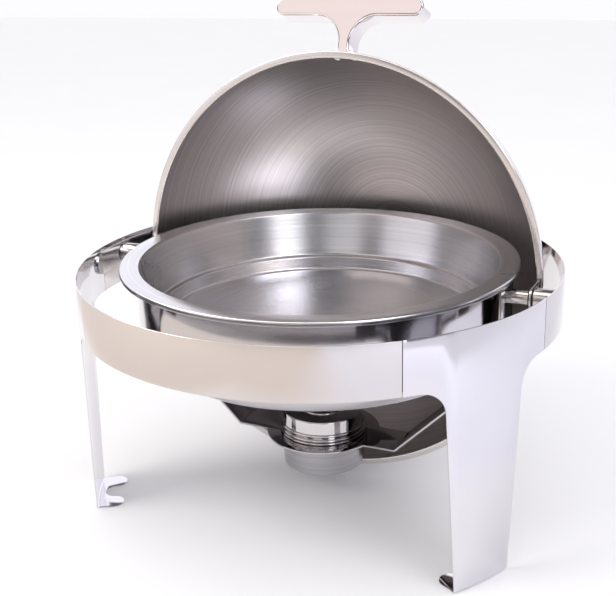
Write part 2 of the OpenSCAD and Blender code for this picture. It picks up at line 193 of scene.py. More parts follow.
def select_edges(piece: Piece, test: Callable[[Vector, Vector], bool]) -> None:
    """Select the edges of the open piece by their two ends.

    Args:
        piece: The piece that is open in edit mode, with its edges shown.
        test: Says, from an edge's two ends in mm, whether to select it.
    """
    mesh = bmesh.from_edit_mesh(piece.data)
    for edge in mesh.edges:
        edge.select_set(test(edge.verts[0].co * 1000, edge.verts[1].co * 1000))
    bmesh.update_edit_mesh(piece.data)


def select_faces(piece: Piece, test: Callable[[Vector, Vector], bool]) -> None:
    """Select the faces of the open piece by their place and direction.

    Args:
        piece: The piece that is open in edit mode.
        test: Says, from a face's middle in mm and its normal, whether to select it.
    """
    mesh = bmesh.from_edit_mesh(piece.data)
    bpy.ops.mesh.select_all(action="DESELECT")
    for face in mesh.faces:
        face.select_set(test(face.calc_center_median() * 1000, face.normal))
    bmesh.update_edit_mesh(piece.data)


def draw(name: str, points: Sequence[Sequence[float]], closed: bool = False) -> Piece:
    """Draw a line of corners by extruding one corner again and again.

    Args:
        name: Name of the new piece.
        points: Corners in order, x, y and z in mm.
        closed: Whether to close the line and fill it with one face.

    Returns:
        The drawn piece.
    """
    clear_selection()
    bpy.ops.mesh.primitive_plane_add(size=0.001, location=(0, 0, 0))
    piece = bpy.context.active_object
    piece.name = piece.data.name = name
    places = [Vector(p) / 1000 for p in points]
    with editing(piece):
        bpy.ops.mesh.merge(type="CENTER")
        bpy.ops.transform.translate(value=places[0])
        for here, there in zip(places, places[1:]):
            bpy.ops.mesh.extrude_region_move(TRANSFORM_OT_translate={"value": there - here})
        if closed:
            bpy.ops.mesh.select_all(action="SELECT")
            bpy.ops.mesh.edge_face_add()
    return piece


def tidy(piece: Piece, reach: float = 0.004) -> None:
    """Merge corners that meet and point all faces outwards.

    Args:
        piece: The piece to tidy.
        reach: Distance under which corners are one, mm.
    """
    with editing(piece):
        bpy.ops.mesh.remove_doubles(threshold=reach / 1000)
        bpy.ops.mesh.normals_make_consistent(inside=False)


def face_away(piece: Piece, test: Callable[[Vector, Vector], bool]) -> None:
    """Turn an open sheet over unless its faces point the way that the test asks.

    Args:
        piece: An open sheet with consistent normals.
        test: Says, from a face's middle in mm and its normal, whether it points the right way.
    """
    votes = sum(1 if test(f.center * 1000, f.normal) else -1 for f in piece.data.polygons)
    if votes < 0:
        with editing(piece, "FACE"):
            bpy.ops.mesh.flip_normals()


def modify(piece: Piece, kind: str, **settings: object) -> None:
    """Add one modifier and apply it.

    Args:
        piece: The piece to change.
        kind: The modifier's type name.
        settings: The modifier's own settings.
    """
    pick(piece)
    modifier = piece.modifiers.new(kind.title(), kind)
    for key, value in settings.items():
        setattr(modifier, key, value)
    bpy.ops.object.modifier_apply(modifier=modifier.name)


def thicken(piece: Piece, sheet: float, outwards: bool = False) -> None:
    """Give a sheet its thickness in mm, behind its faces or in front of them."""
    modify(piece, "SOLIDIFY", thickness=sheet / 1000, offset=1.0 if outwards else -1.0,
           use_even_offset=True, use_rim=True)


def ease(piece: Piece, width: float, segments: int = 2, angle: float = 40.0) -> None:
    """Round every edge sharper than the angle by a small width in mm."""
    modify(piece, "BEVEL", width=width / 1000, segments=segments, limit_method="ANGLE",
           angle_limit=math.radians(angle), use_clamp_overlap=True, harden_normals=False)


def smooth(piece: Piece, angle: float = 30.0) -> None:
    """Shade a piece smooth, apart from edges sharper than the angle."""
    pick(piece)
    bpy.ops.object.shade_smooth_by_angle(angle=math.radians(angle))


def combine(piece: Piece, tool: Piece, operation: str) -> None:
    """Cut, join or overlap a piece with a tool shape, which is used up."""
    modify(piece, "BOOLEAN", object=tool, operation=operation, solver="EXACT")
    bpy.data.objects.remove(tool)


def rod(name: str, radius: float, low: float, high: float) -> Piece:
    """Add an upright cylinder on the chafer's own axis.

    Args:
        name: Name of the piece.
        radius: Radius, mm.
        low: Height of its lower end, mm.
        high: Height of its upper end, mm.

    Returns:
        The cylinder.
    """
    clear_selection()
    bpy.ops.mesh.primitive_cylinder_add(
        vertices=128, radius=radius / 1000, depth=(high - low) / 1000,
        location=(0, 0, (low + high) / 2000))
    piece = bpy.context.active_object
    piece.name = piece.data.name = name
    settle(piece)
    return piece


def block(name: str, low: Sequence[float], high: Sequence[float]) -> Piece:
    """Add a box between two corners.

    Args:
        name: Name of the piece.
        low: Its lowest x, y and z, mm.
        high: Its highest x, y and z, mm.

    Returns:
        The box.
    """
    clear_selection()
    bpy.ops.mesh.primitive_cube_add(size=1, location=[(a + b) / 2000 for a, b in zip(low, high)])
    piece = bpy.context.active_object
    piece.name = piece.data.name = name
    piece.scale = [(b - a) / 1000 for a, b in zip(low, high)]
    settle(piece)
    return piece


def settle(piece: Piece) -> None:
    """Put a piece's place, turn and size into its mesh."""
    pick(piece)
    bpy.ops.object.transform_apply(location=True, rotation=True, scale=True)


def turned(name: str, outline: Sequence[Point2], axis: Axis, closed: bool, steps: int = 96,
           height: float = 0.0) -> Piece:
    """Turn a piece on a lathe.

    Args:
        name: Name of the piece.
        outline: For an upright axis radius and height, for the pivot axis place along X and
            radius, mm.
        axis: The line to spin about.
        closed: Whether the outline is a closed section that doesn't touch the axis.
        steps: Steps in the full turn.
        height: Height that the outline is measured from, mm.

    Returns:
        The turned piece with its faces pointing outwards.
    """
    points = [(a, 0.0, b + height) for a, b in outline]
    if closed:
        points.append(points[0])
    piece = draw(name, points)
    with editing(piece):
        bpy.ops.mesh.spin(steps=steps, angle=math.tau, center=(0, 0, height / 1000),
                          axis=axis.value, use_auto_merge=True)
    tidy(piece)
    return piece


def turned_copy(piece: Piece, name: str, degrees: float) -> Piece:
    """Copy a finished piece and turn the copy about the chafer's upright axis.

    Args:
        piece: The piece to copy, which stays as it is.
        name: Name of the copy.
        degrees: Turn, anticlockwise from above.

    Returns:
        The copy, with its own mesh.
    """
    pick(piece)
    bpy.ops.object.duplicate(linked=False)
    twin = bpy.context.active_object
    twin.name = twin.data.name = name
    twin.rotation_euler = (0, 0, math.radians(degrees))
    settle(twin)
    return twin


def mirrored_copy(piece: Piece, name: str) -> Piece:
    """Copy a finished piece to the chafer's other side and turn its faces outwards again.

    Args:
        piece: The right-hand piece, which stays as it is.
        name: Name of the copy.

    Returns:
        The left-hand copy, with its own mesh.
    """
    pick(piece)
    bpy.ops.object.duplicate(linked=False)
    twin = bpy.context.active_object
    twin.name = twin.data.name = name
    twin.scale.x = -1
    settle(twin)
    with editing(twin, "FACE"):
        bpy.ops.mesh.normals_make_consistent(inside=False)
    return twin


def roll_back(piece: Piece) -> None:
    """Carry a piece of the closed lid to where the lid stands open.

    Args:
        piece: The piece, drawn with the pivots at the origin.
    """
    piece.rotation_euler = (math.radians(-LID_OPEN), 0, 0)
    piece.location = (0, 0, AXLE / 1000)
    settle(piece)


# ---------------------------------------------------------------- finishes


def linear(hex_colour: str) -> tuple[float, float, float, float]:
    """Turn an sRGB hex colour into a linear one.

    Args:
        hex_colour: The colour, such as #dcdadd.

    Returns:
        Linear red, green and blue, and a full alpha.
    """
    parts = [int(hex_colour[k:k + 2], 16) / 255 for k in (1, 3, 5)]
    flat = [c / 12.92 if c <= 0.04045 else ((c + 0.055) / 1.055) ** 2.4 for c in parts]
    return (*flat, 1.0)


def add_node(tree: bpy.types.NodeTree, kind: str, settings: dict[str, object] | None = None,
             inputs: dict[str | int, object] | None = None) -> bpy.types.Node:
    """Add one node with its settings and links.

    Args:
        tree: The node tree.
        kind: The node's type name.
        settings: Properties to set on the node.
        inputs: Values, or sockets to link, by input name or number.

    Returns:
        The new node.
    """
    node = tree.nodes.new(kind)
    for key, value in (settings or {}).items():
        setattr(node, key, value)
    for key, value in (inputs or {}).items():
        if isinstance(value, bpy.types.NodeSocket):
            tree.links.new(value, node.inputs[key])
        else:
            node.inputs[key].default_value = value
    return node


def new_material(name: str) -> tuple[bpy.types.Material, bpy.types.NodeTree]:
    """Start a material with an empty node tree.

    Args:
        name: Name of the material.

    Returns:
        The material and its node tree.
    """
    material = bpy.data.materials.new(name)
    material.use_nodes = True
    material.node_tree.nodes.clear()
    return material, material.node_tree


@dataclass(frozen=True)
class PolishedSteel:
    """Mirror-polished stainless steel.

    Buffed sheet gives sharp reflections that wander a little, because pressed sheet is never
    quite flat, and handling leaves faint cloudy patches where the gloss is softer.
    """

    name: str
    colour: str = "#dcdadd"
    gloss: float = 0.055  # roughness of clean buffed steel
    smudge: float = 0.05  # how much rougher a handled patch is
    smudge_mm: float = 38.0  # width of a cloudy patch
    wave_mm: float = 70.0  # length of the sheet's slow waves
    wave: float = 0.06  # strength of those waves

    def build(self) -> bpy.types.Material:
        """Build the material.

        Returns:
            The finished material.
        """
        material, tree = new_material(self.name)
        place = add_node(tree, "ShaderNodeTexCoord").outputs["Object"]
        cloud = add_node(tree, "ShaderNodeTexNoise", inputs={
            "Vector": place, "Scale": 1000 / self.smudge_mm, "Detail": 4.0, "Roughness": 0.6})
        rough = add_node(tree, "ShaderNodeMapRange", inputs={
            "Value": cloud.outputs["Fac"], "From Min": 0.35, "From Max": 0.75,
            "To Min": self.gloss, "To Max": self.gloss + self.smudge})
        swell = add_node(tree, "ShaderNodeTexNoise", inputs={
            "Vector": place, "Scale": 1000 / self.wave_mm, "Detail": 0.0})
        bump = add_node(tree, "ShaderNodeBump", inputs={
            "Height": swell.outputs["Fac"], "Strength": self.wave, "Distance": 0.002})
        tint = add_node(tree, "ShaderNodeMix", {"data_type": "RGBA"}, {
            "Factor": cloud.outputs["Fac"], "A": linear(self.colour),
            "B": tuple(c * 0.95 for c in linear(self.colour)[:3]) + (1.0,)})
        shader = add_node(tree, "ShaderNodeBsdfPrincipled", inputs={
            "Base Color": tint.outputs["Result"], "Metallic": 1.0,
            "Roughness": rough.outputs["Result"], "Normal": bump.outputs["Normal"]})
        add_node(tree, "ShaderNodeOutputMaterial", inputs={"Surface": shader.outputs["BSDF"]})
        return material


@dataclass(frozen=True)
class SpunSteel:
    """Satin or brushed stainless steel with marks that run round an axis.

    Sheet that was brushed or drawn while it turned has fine rings. They spread a highlight
    across the rings and leave it sharp along them. The real marks are about 0.1 mm apart, too
    fine to show, so the rings are drawn 2 to 4 mm apart.
    """

    name: str
    colour: str
    dark: str  # colour in the bottoms of the marks
    gloss: float  # middle of the roughness
    ring_mm: float  # space between rings
    mark: float  # strength of the marks
    centre: tuple[float, float, float] = (0.0, 0.0, 0.0)  # a point on the axis, mm
    tilt: float = 0.0  # turn about X that stands the axis upright, degrees
    blotch_mm: float = 90.0  # size of broad cloudy changes
    wander: float = 4.0  # how far a ring wanders, mm
    wander_scale: float = 14.0  # how often it wanders, per metre

    def build(self) -> bpy.types.Material:
        """Build the material.

        Returns:
            The finished material.
        """
        material, tree = new_material(self.name)
        place = add_node(tree, "ShaderNodeTexCoord").outputs["Object"]
        turn = Matrix.Rotation(math.radians(self.tilt), 3, "X")
        mapped = add_node(tree, "ShaderNodeMapping", inputs={
            "Vector": place, "Rotation": (math.radians(self.tilt), 0, 0),
            "Location": -(turn @ (Vector(self.centre) / 1000))})
        flat = add_node(tree, "ShaderNodeVectorMath", {"operation": "MULTIPLY"}, {
            0: mapped.outputs["Vector"], 1: (1.0, 1.0, 0.0)})
        radius = add_node(tree, "ShaderNodeVectorMath", {"operation": "LENGTH"}, {
            0: flat.outputs["Vector"]})
        split = add_node(tree, "ShaderNodeSeparateXYZ", inputs={"Vector": mapped.outputs["Vector"]})
        reach = add_node(tree, "ShaderNodeMath", {"operation": "SUBTRACT"}, {
            0: radius.outputs["Value"], 1: split.outputs["Z"]})
        wander = add_node(tree, "ShaderNodeTexNoise", inputs={
            "Vector": place, "Scale": self.wander_scale, "Detail": 1.0})
        drift = add_node(tree, "ShaderNodeMath", {"operation": "MULTIPLY_ADD"}, {
            0: wander.outputs["Fac"], 1: self.wander / 1000, 2: reach.outputs["Value"]})
        marks = add_node(tree, "ShaderNodeTexNoise", {"noise_dimensions": "1D"}, {
            "W": drift.outputs["Value"], "Scale": 1000 / self.ring_mm, "Detail": 1.0,
            "Roughness": 0.5})
        blotch = add_node(tree, "ShaderNodeTexNoise", inputs={
            "Vector": place, "Scale": 1000 / self.blotch_mm, "Detail": 3.0})
        blend = add_node(tree, "ShaderNodeMapRange", inputs={
            "Value": marks.outputs["Fac"], "From Min": 0.3, "From Max": 0.7,
            "To Min": 0.0, "To Max": 1.0})
        tint = add_node(tree, "ShaderNodeMix", {"data_type": "RGBA"}, {
            "Factor": blend.outputs["Result"], "A": linear(self.dark), "B": linear(self.colour)})
        rough = add_node(tree, "ShaderNodeMapRange", inputs={
            "Value": blotch.outputs["Fac"], "From Min": 0.3, "From Max": 0.7,
            "To Min": self.gloss - 0.03, "To Max": self.gloss + 0.04})
        bump = add_node(tree, "ShaderNodeBump", inputs={
            "Height": marks.outputs["Fac"], "Strength": self.mark, "Distance": 0.0002})
        shader = add_node(tree, "ShaderNodeBsdfPrincipled", inputs={
            "Base Color": tint.outputs["Result"], "Metallic": 1.0,
            "Roughness": rough.outputs["Result"], "Normal": bump.outputs["Normal"]})
        add_node(tree, "ShaderNodeOutputMaterial", inputs={"Surface": shader.outputs["BSDF"]})
        return material


@dataclass(frozen=True)
class PressedFibre:
    """Dark pressed fibre, as the friction washers are made of: dull, with a fine felted grain."""

    name: str
    colour: str = "#1d1c1e"
    pale: str = "#3a383a"
    grain_mm: float = 0.6  # the fibres, drawn about three times coarser than they are

    def build(self) -> bpy.types.Material:
        """Build the material.

        Returns:
            The finished material.
        """
        material, tree = new_material(self.name)
        place = add_node(tree, "ShaderNodeTexCoord").outputs["Object"]
        grain = add_node(tree, "ShaderNodeTexNoise", inputs={
            "Vector": place, "Scale": 1000 / self.grain_mm, "Detail": 3.0})
        tint = add_node(tree, "ShaderNodeMix", {"data_type": "RGBA"}, {
            "Factor": grain.outputs["Fac"], "A": linear(self.colour), "B": linear(self.pale)})
        bump = add_node(tree, "ShaderNodeBump", inputs={
            "Height": grain.outputs["Fac"], "Strength": 0.3, "Distance": 0.0001})
        shader = add_node(tree, "ShaderNodeBsdfPrincipled", inputs={
            "Base Color": tint.outputs["Result"], "Roughness": 0.75,
            "Normal": bump.outputs["Normal"]})
        add_node(tree, "ShaderNodeOutputMaterial", inputs={"Surface": shader.outputs["BSDF"]})
        return material


@dataclass
class Finishes:
    """Every finish on the chafer, built once."""

    # Ring: buffed bands, so it mirrors the room almost cleanly, a little warm
    ring: bpy.types.Material = field(default_factory=PolishedSteel(
        "mirror_polished_band", colour="#d9d5d4").build)
    # Legs: the same sheet after pressing, cooler, and its mirror image waves more
    leg: bpy.types.Material = field(default_factory=PolishedSteel(
        "mirror_polished_leg", colour="#e2e0e4", wave=0.09, wave_mm=85.0).build)
    # Dome outside: spun and buffed, a clean mirror with long slow waves
    lid_outside: bpy.types.Material = field(default_factory=PolishedSteel(
        "mirror_polished_dome", colour="#dddbdd", wave_mm=120.0).build)
    # Dome inside: brushed in rings round the dome's own axis, a broad soft sheen
    lid_inside: bpy.types.Material = field(default_factory=SpunSteel(
        "ring_brushed_dome", "#e4dfdd", "#d3cdcb", 0.36, ring_mm=4.0, mark=0.2,
        centre=(0.0, 0.0, AXLE), tilt=LID_OPEN).build)
    # Rolled rim: buffed by hand, a soft bright line round the lid
    rim: bpy.types.Material = field(default_factory=PolishedSteel(
        "buffed_rolled_rim", colour="#eae6e4", gloss=0.2, smudge=0.06).build)
    # Food pan: drawn and spun about the upright axis, satin with blurred streaks of light
    pan: bpy.types.Material = field(default_factory=SpunSteel(
        "satin_drawn_pan", "#e0dfe1", "#d6d5d7", 0.24, ring_mm=3.2, mark=0.08).build)
    # Water pan: bright drawn sheet that was never buffed, so its mirror image is uneven
    water_pan: bpy.types.Material = field(default_factory=PolishedSteel(
        "bright_drawn_water_pan", colour="#cfcdd0", gloss=0.1, wave=0.12, wave_mm=50.0).build)
    # Hangers, ears and pivot plates: bright rolled plate, slightly blurred
    inner: bpy.types.Material = field(default_factory=PolishedSteel(
        "bright_rolled_plate", colour="#c9c7c9", gloss=0.14, wave_mm=40.0).build)
    # Seam plates: dull steel painted dark, painted shade that makes the open seams look shadowed
    painted_seam_shade: bpy.types.Material = field(default_factory=PolishedSteel(
        "painted_shade_seam_plate", colour="#5b5759", gloss=0.42, smudge=0.1, wave_mm=25.0).build)
    # Pins, bosses and sleeves: turned bar, with narrow bright lines along it
    turned: bpy.types.Material = field(default_factory=SpunSteel(
        "turned_bar_steel", "#cfcbc8", "#b9b4b1", 0.16, ring_mm=2.0, mark=0.05).build)
    # Burner bracket: bright strip, bent cold
    bracket: bpy.types.Material = field(default_factory=PolishedSteel(
        "bright_strip", colour="#c4c1c3", gloss=0.09, wave_mm=60.0).build)
    # Handle: cast, ground and mirror polished, with short soft ripples
    handle: bpy.types.Material = field(default_factory=PolishedSteel(
        "mirror_polished_casting", colour="#ece7e7", gloss=0.06, wave_mm=35.0, wave=0.05).build)
    # Fuel cup and damper: spun and left satin, grey with no clear mirror image
    cup: bpy.types.Material = field(default_factory=SpunSteel(
        "satin_spun_cup", "#c4c3c6", "#b6b5b9", 0.3, ring_mm=2.4, mark=0.08).build)
    # Fuel cover: buffed, with hard dark and light bands round its ribs
    cover: bpy.types.Material = field(default_factory=PolishedSteel(
        "mirror_polished_cover", colour="#d6d2d2", gloss=0.05, wave_mm=30.0).build)
    # Screws, nuts and rivets: bright from tumbling
    fastener: bpy.types.Material = field(default_factory=PolishedSteel(
        "bright_fastener", colour="#cfccc9", gloss=0.16, wave_mm=12.0).build)
    # Friction washers: nearly black and dull between the bright parts
    fibre: bpy.types.Material = field(default_factory=PressedFibre("pressed_fibre").build)


def place_on(piece: Piece, body: Body, slot: str, finish: bpy.types.Material,
             *nodes: str) -> None:
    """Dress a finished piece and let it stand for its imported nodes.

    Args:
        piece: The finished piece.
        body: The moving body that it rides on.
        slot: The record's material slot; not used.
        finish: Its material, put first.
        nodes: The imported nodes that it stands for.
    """
    if not piece.data.materials:
        piece.data.materials.append(finish)
    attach(piece, body.value)
    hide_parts(*nodes)
    log.info("%s: %d faces, on %s", piece.name, len(piece.data.polygons), body.value)


# ---------------------------------------------------------------- ring and legs


@dataclass
class Ring:
    """The polished ring: three plain bands, three leg panels and the plates inside it, mm."""

    finishes: Finishes
    inner: float = RING_IN
    sheet: float = 1.2
    band_h: float = 49.0
    high: float = AXLE + 16.0
    plain_span: float = 80.0
    seam: float = 0.8
    edge: float = 0.35  # rounding of the sheet's cut edges
    leg_top: float = 91.0
    leg_foot: float = 65.0
    fillet: float = 25.0
    bend: float = 2.6
    foot_reach: float = 28.0
    notch: float = 21.5
    heel: float = 7.0  # flat between a foot's bend and its notch
    brace_h: float = 24.0
    brace_t: float = 2.5
    brace_span: float = 22.0
    plate_w: float = 30.0
    plate_t: float = 1.0
    plate_gap: float = 4.0  # from the band's edges to a seam plate's

    @property
    def low(self) -> float:
        """Height of the band's lower edge."""
        return self.high - self.band_h

    @property
    def outer(self) -> float:
        """Outer radius of the ring."""
        return self.inner + self.sheet

    @property
    def heel_row(self) -> float:
        """Radius of the row of corners that a foot's sole joins, just behind its notch."""
        return self.inner - self.heel + 0.6

    def section_arc(self, name: str, inner: float, sheet: float, low: float, high: float,
                    middle: float, span: float, edge: float) -> Piece:
        """Spin the rounded section of a curved strip.

        Args:
            name: Name of the piece.
            inner: Inner radius.
            sheet: Thickness.
            low: Lower edge.
            high: Upper edge.
            middle: Angle of its middle from the front, degrees, to the right.
            span: Angle that it covers, degrees.
            edge: Radius of its rounded edges.

        Returns:
            The strip, closed at both ends.
        """
        section = rounded([(inner, low, edge), (inner + sheet, low, edge),
                           (inner + sheet, high, edge), (inner, high, edge)], True, 3)
        start = math.radians(middle + span / 2 - 90)  # the spin runs clockwise from above
        piece = draw(name, [(r * math.cos(start), r * math.sin(start), z) for r, z in section],
                     closed=True)
        with editing(piece):
            bpy.ops.mesh.spin(steps=max(6, round(span)), angle=math.radians(span),
                              center=(0, 0, 0), axis=(0, 0, 1))
        tidy(piece)
        smooth(piece)
        return piece

    def plain_bands(self) -> None:
        """Make the front band and copy it to the two rear places."""
        gap = math.degrees(self.seam / self.outer)
        front = self.section_arc("plain_band_front", self.inner, self.sheet, self.low, self.high,
                                 0.0, self.plain_span - gap, self.edge)
        right = turned_copy(front, "plain_band_right_rear", 120)
        left = turned_copy(front, "plain_band_left_rear", -120)
        for piece, node in ((front, "front_band"), (right, "right_rear_band"),
                            (left, "left_rear_band")):
            place_on(piece, Body.STAND, "polished_ring", self.finishes.ring, node)

    def lower_edge(self) -> list[Point2]:
        """Give the right half of a leg panel's lower edge.

        Returns:
            Distance along the ring and height, from the seam in to the leg's middle.
        """
        slope = (self.leg_top - self.leg_foot) / 2 / self.low
        lean = math.atan(slope)
        fillet_x = self.leg_top / 2 + self.fillet * (1 - math.sin(lean)) / math.cos(lean)
        gap = math.degrees(self.seam / self.outer)
        end = self.outer * math.sin(math.radians((120 - self.plain_span - gap) / 2))
        line = [(end + (fillet_x - end) * k / 4, self.low) for k in range(4)]
        line += arc((fillet_x, self.low - self.fillet), self.fillet, 90,
                    180 - math.degrees(lean), 14)
        top = line[-1]
        foot = (self.leg_foot / 2 + slope * self.bend, self.bend)
        line += [(top[0] + (foot[0] - top[0]) * k / 8, top[1] + (foot[1] - top[1]) * k / 8)
                 for k in range(1, 9)]
        line += [(foot[0] * (1 - k / 16), self.bend) for k in range(1, 17)]
        return line

    def foot_outline(self) -> list[Point2]:
        """Give the free edge of the foot, from its right side round both prongs to its left.

        Returns:
            Distance from the ring's centre and distance along the ring.
        """
        tip = self.inner - self.foot_reach
        half = self.leg_foot / 2
        prong = (half - self.notch / 2) / 2
        root = self.inner - self.heel - self.notch / 2
        right = arc((tip + prong, half - prong), prong, 90, 270, 12)
        notch = arc((root, 0), self.notch / 2, 90, -90, 14)
        left = [(x, -y) for x, y in reversed(right)]
        return right + notch + left

    def leg_sheet(self) -> Piece:
        """Draw a leg panel's lower edge round the ring and pull it up to the band's top.

        Returns:
            The sheet, one face thick, in front of the chafer.
        """
        right = self.lower_edge()
        along = right + [(-x, z) for x, z in reversed(right[:-1])]
        points = []
        for x, z in along:
            angle = math.asin(x / self.outer)
            points.append((self.outer * math.sin(angle), -self.outer * math.cos(angle), z))
        piece = draw("leg_panel", points)
        with editing(piece):
            bpy.ops.mesh.extrude_region_move(TRANSFORM_OT_translate={"value": (0, 0, 0.001)})
            bpy.ops.transform.resize(value=(1, 1, 0), center_override=(0, 0, self.high / 1000))
        return piece

    def bend_foot(self, piece: Piece) -> None:
        """Turn the foot of a leg's sheet inwards, round its bend and on to the flat.

        Args:
            piece: The leg's sheet.
        """
        half = self.leg_foot / 2 + 0.5
        radius, height = self.outer, self.bend
        with editing(piece):
            select_verts(piece, lambda p: p.z < self.bend + 0.01 and abs(p.x) < half)
            for k in range(1, 5):
                turn = math.radians(22.5 * k)
                new_radius = self.outer - self.bend * (1 - math.cos(turn))
                new_height = self.bend * (1 - math.sin(turn))
                share = new_radius / radius
                bpy.ops.mesh.extrude_region_move(
                    TRANSFORM_OT_translate={"value": (0, 0, (new_height - height) / 1000)})
                bpy.ops.transform.resize(value=(share, share, 1), center_override=(0, 0, 0))
                radius, height = new_radius, new_height
            share = self.heel_row / radius
            bpy.ops.mesh.extrude_region_move(TRANSFORM_OT_translate={"value": (0, 0, 0)})
            bpy.ops.transform.resize(value=(share, share, 1), center_override=(0, 0, 0))

    def add_sole(self, piece: Piece) -> None:
        """Fill the flat of the foot, with its two prongs, from the bend to its free edge.

        Args:
            piece: The leg's sheet, with its foot bent.
        """
        sole = draw("sole", [(y, -x, 0.0) for x, y in self.foot_outline()])
        pick(sole)
        piece.select_set(True)
        bpy.context.view_layer.objects.active = piece
        bpy.ops.object.join()
        reach = self.heel_row + 0.05
        with editing(piece):
            select_verts(piece, lambda p: p.z < 0.01 and p.xy.length < reach)
            bpy.ops.mesh.edge_face_add()

    def leg_panel(self) -> Piece:
        """Make a leg panel, with its piece of band and its foot, as one bent sheet.

        Returns:
            The finished panel, in front of the chafer.
        """
        piece = self.leg_sheet()
        self.bend_foot(piece)
        self.add_sole(piece)
        tidy(piece)
        face_away(piece, lambda c, n: n.dot(Vector((c.x, c.y, 0))) > 0)
        thicken(piece, self.sheet)
        ease(piece, self.edge, 2, 50)
        smooth(piece, 28)
        return piece

    def legs(self) -> None:
        """Make one leg panel, and copy and turn it to the three places."""
        model = self.leg_panel()
        for name, node, at in (("leg_panel_right", "front_right_leg", 60),
                               ("leg_panel_left", "front_left_leg", -60),
                               ("leg_panel_rear", "rear_leg", 180)):
            place_on(turned_copy(model, name, at), Body.STAND, "polished_leg",
                     self.finishes.leg, node)
        bpy.data.objects.remove(model)

    def seam_plates(self) -> None:
        """Make one seam plate and copy it to the four seams without a pivot plate."""
        model = self.section_arc(
            "seam_plate", self.inner - self.plate_t, self.plate_t, self.low + self.plate_gap,
            self.high - self.plate_gap, 0.0, math.degrees(self.plate_w / self.inner), 0.25)
        # the seam plates take the dark finish that paints shade into the open seams
        for number, at in enumerate((40, -40, 160, -160), 1):
            place_on(turned_copy(model, f"seam_plate_{number}", at), Body.STAND, "inner_plate",
                     self.finishes.painted_seam_shade, "seam_plates")
        bpy.data.objects.remove(model)

    def pivot_plates(self) -> None:
        """Make the right reinforcing plate with its two round ends, and its mirror image."""
        half_h = self.brace_h / 2
        reach = self.inner * math.sin(math.radians(self.brace_span / 2))
        right = self.section_arc("pivot_plate_right", self.inner - self.brace_t, self.brace_t,
                                 AXLE - half_h, AXLE + half_h, 90.0, self.brace_span + 7.5, 0.3)
        tool = block("tool", (self.inner - 30, -reach - half_h, AXLE - half_h),
                     (self.inner + 30, reach + half_h, AXLE + half_h))
        with editing(tool, "EDGE"):
            select_edges(tool, lambda a, b: abs(a.x - b.x) > 10)
            bpy.ops.mesh.bevel(offset=half_h / 1000 - 1e-5, segments=12, affect="EDGES")
        combine(right, tool, "INTERSECT")
        smooth(right)
        left = mirrored_copy(right, "pivot_plate_left")
        smooth(left)
        place_on(right, Body.STAND, "inner_plate", self.finishes.inner, "right_brace")
        place_on(left, Body.STAND, "inner_plate", self.finishes.inner, "left_brace")

    def build(self) -> None:
        """Build and dress the whole ring."""
        self.plain_bands()
        self.legs()
        self.seam_plates()
        self.pivot_plates()


# ---------------------------------------------------------------- pivots


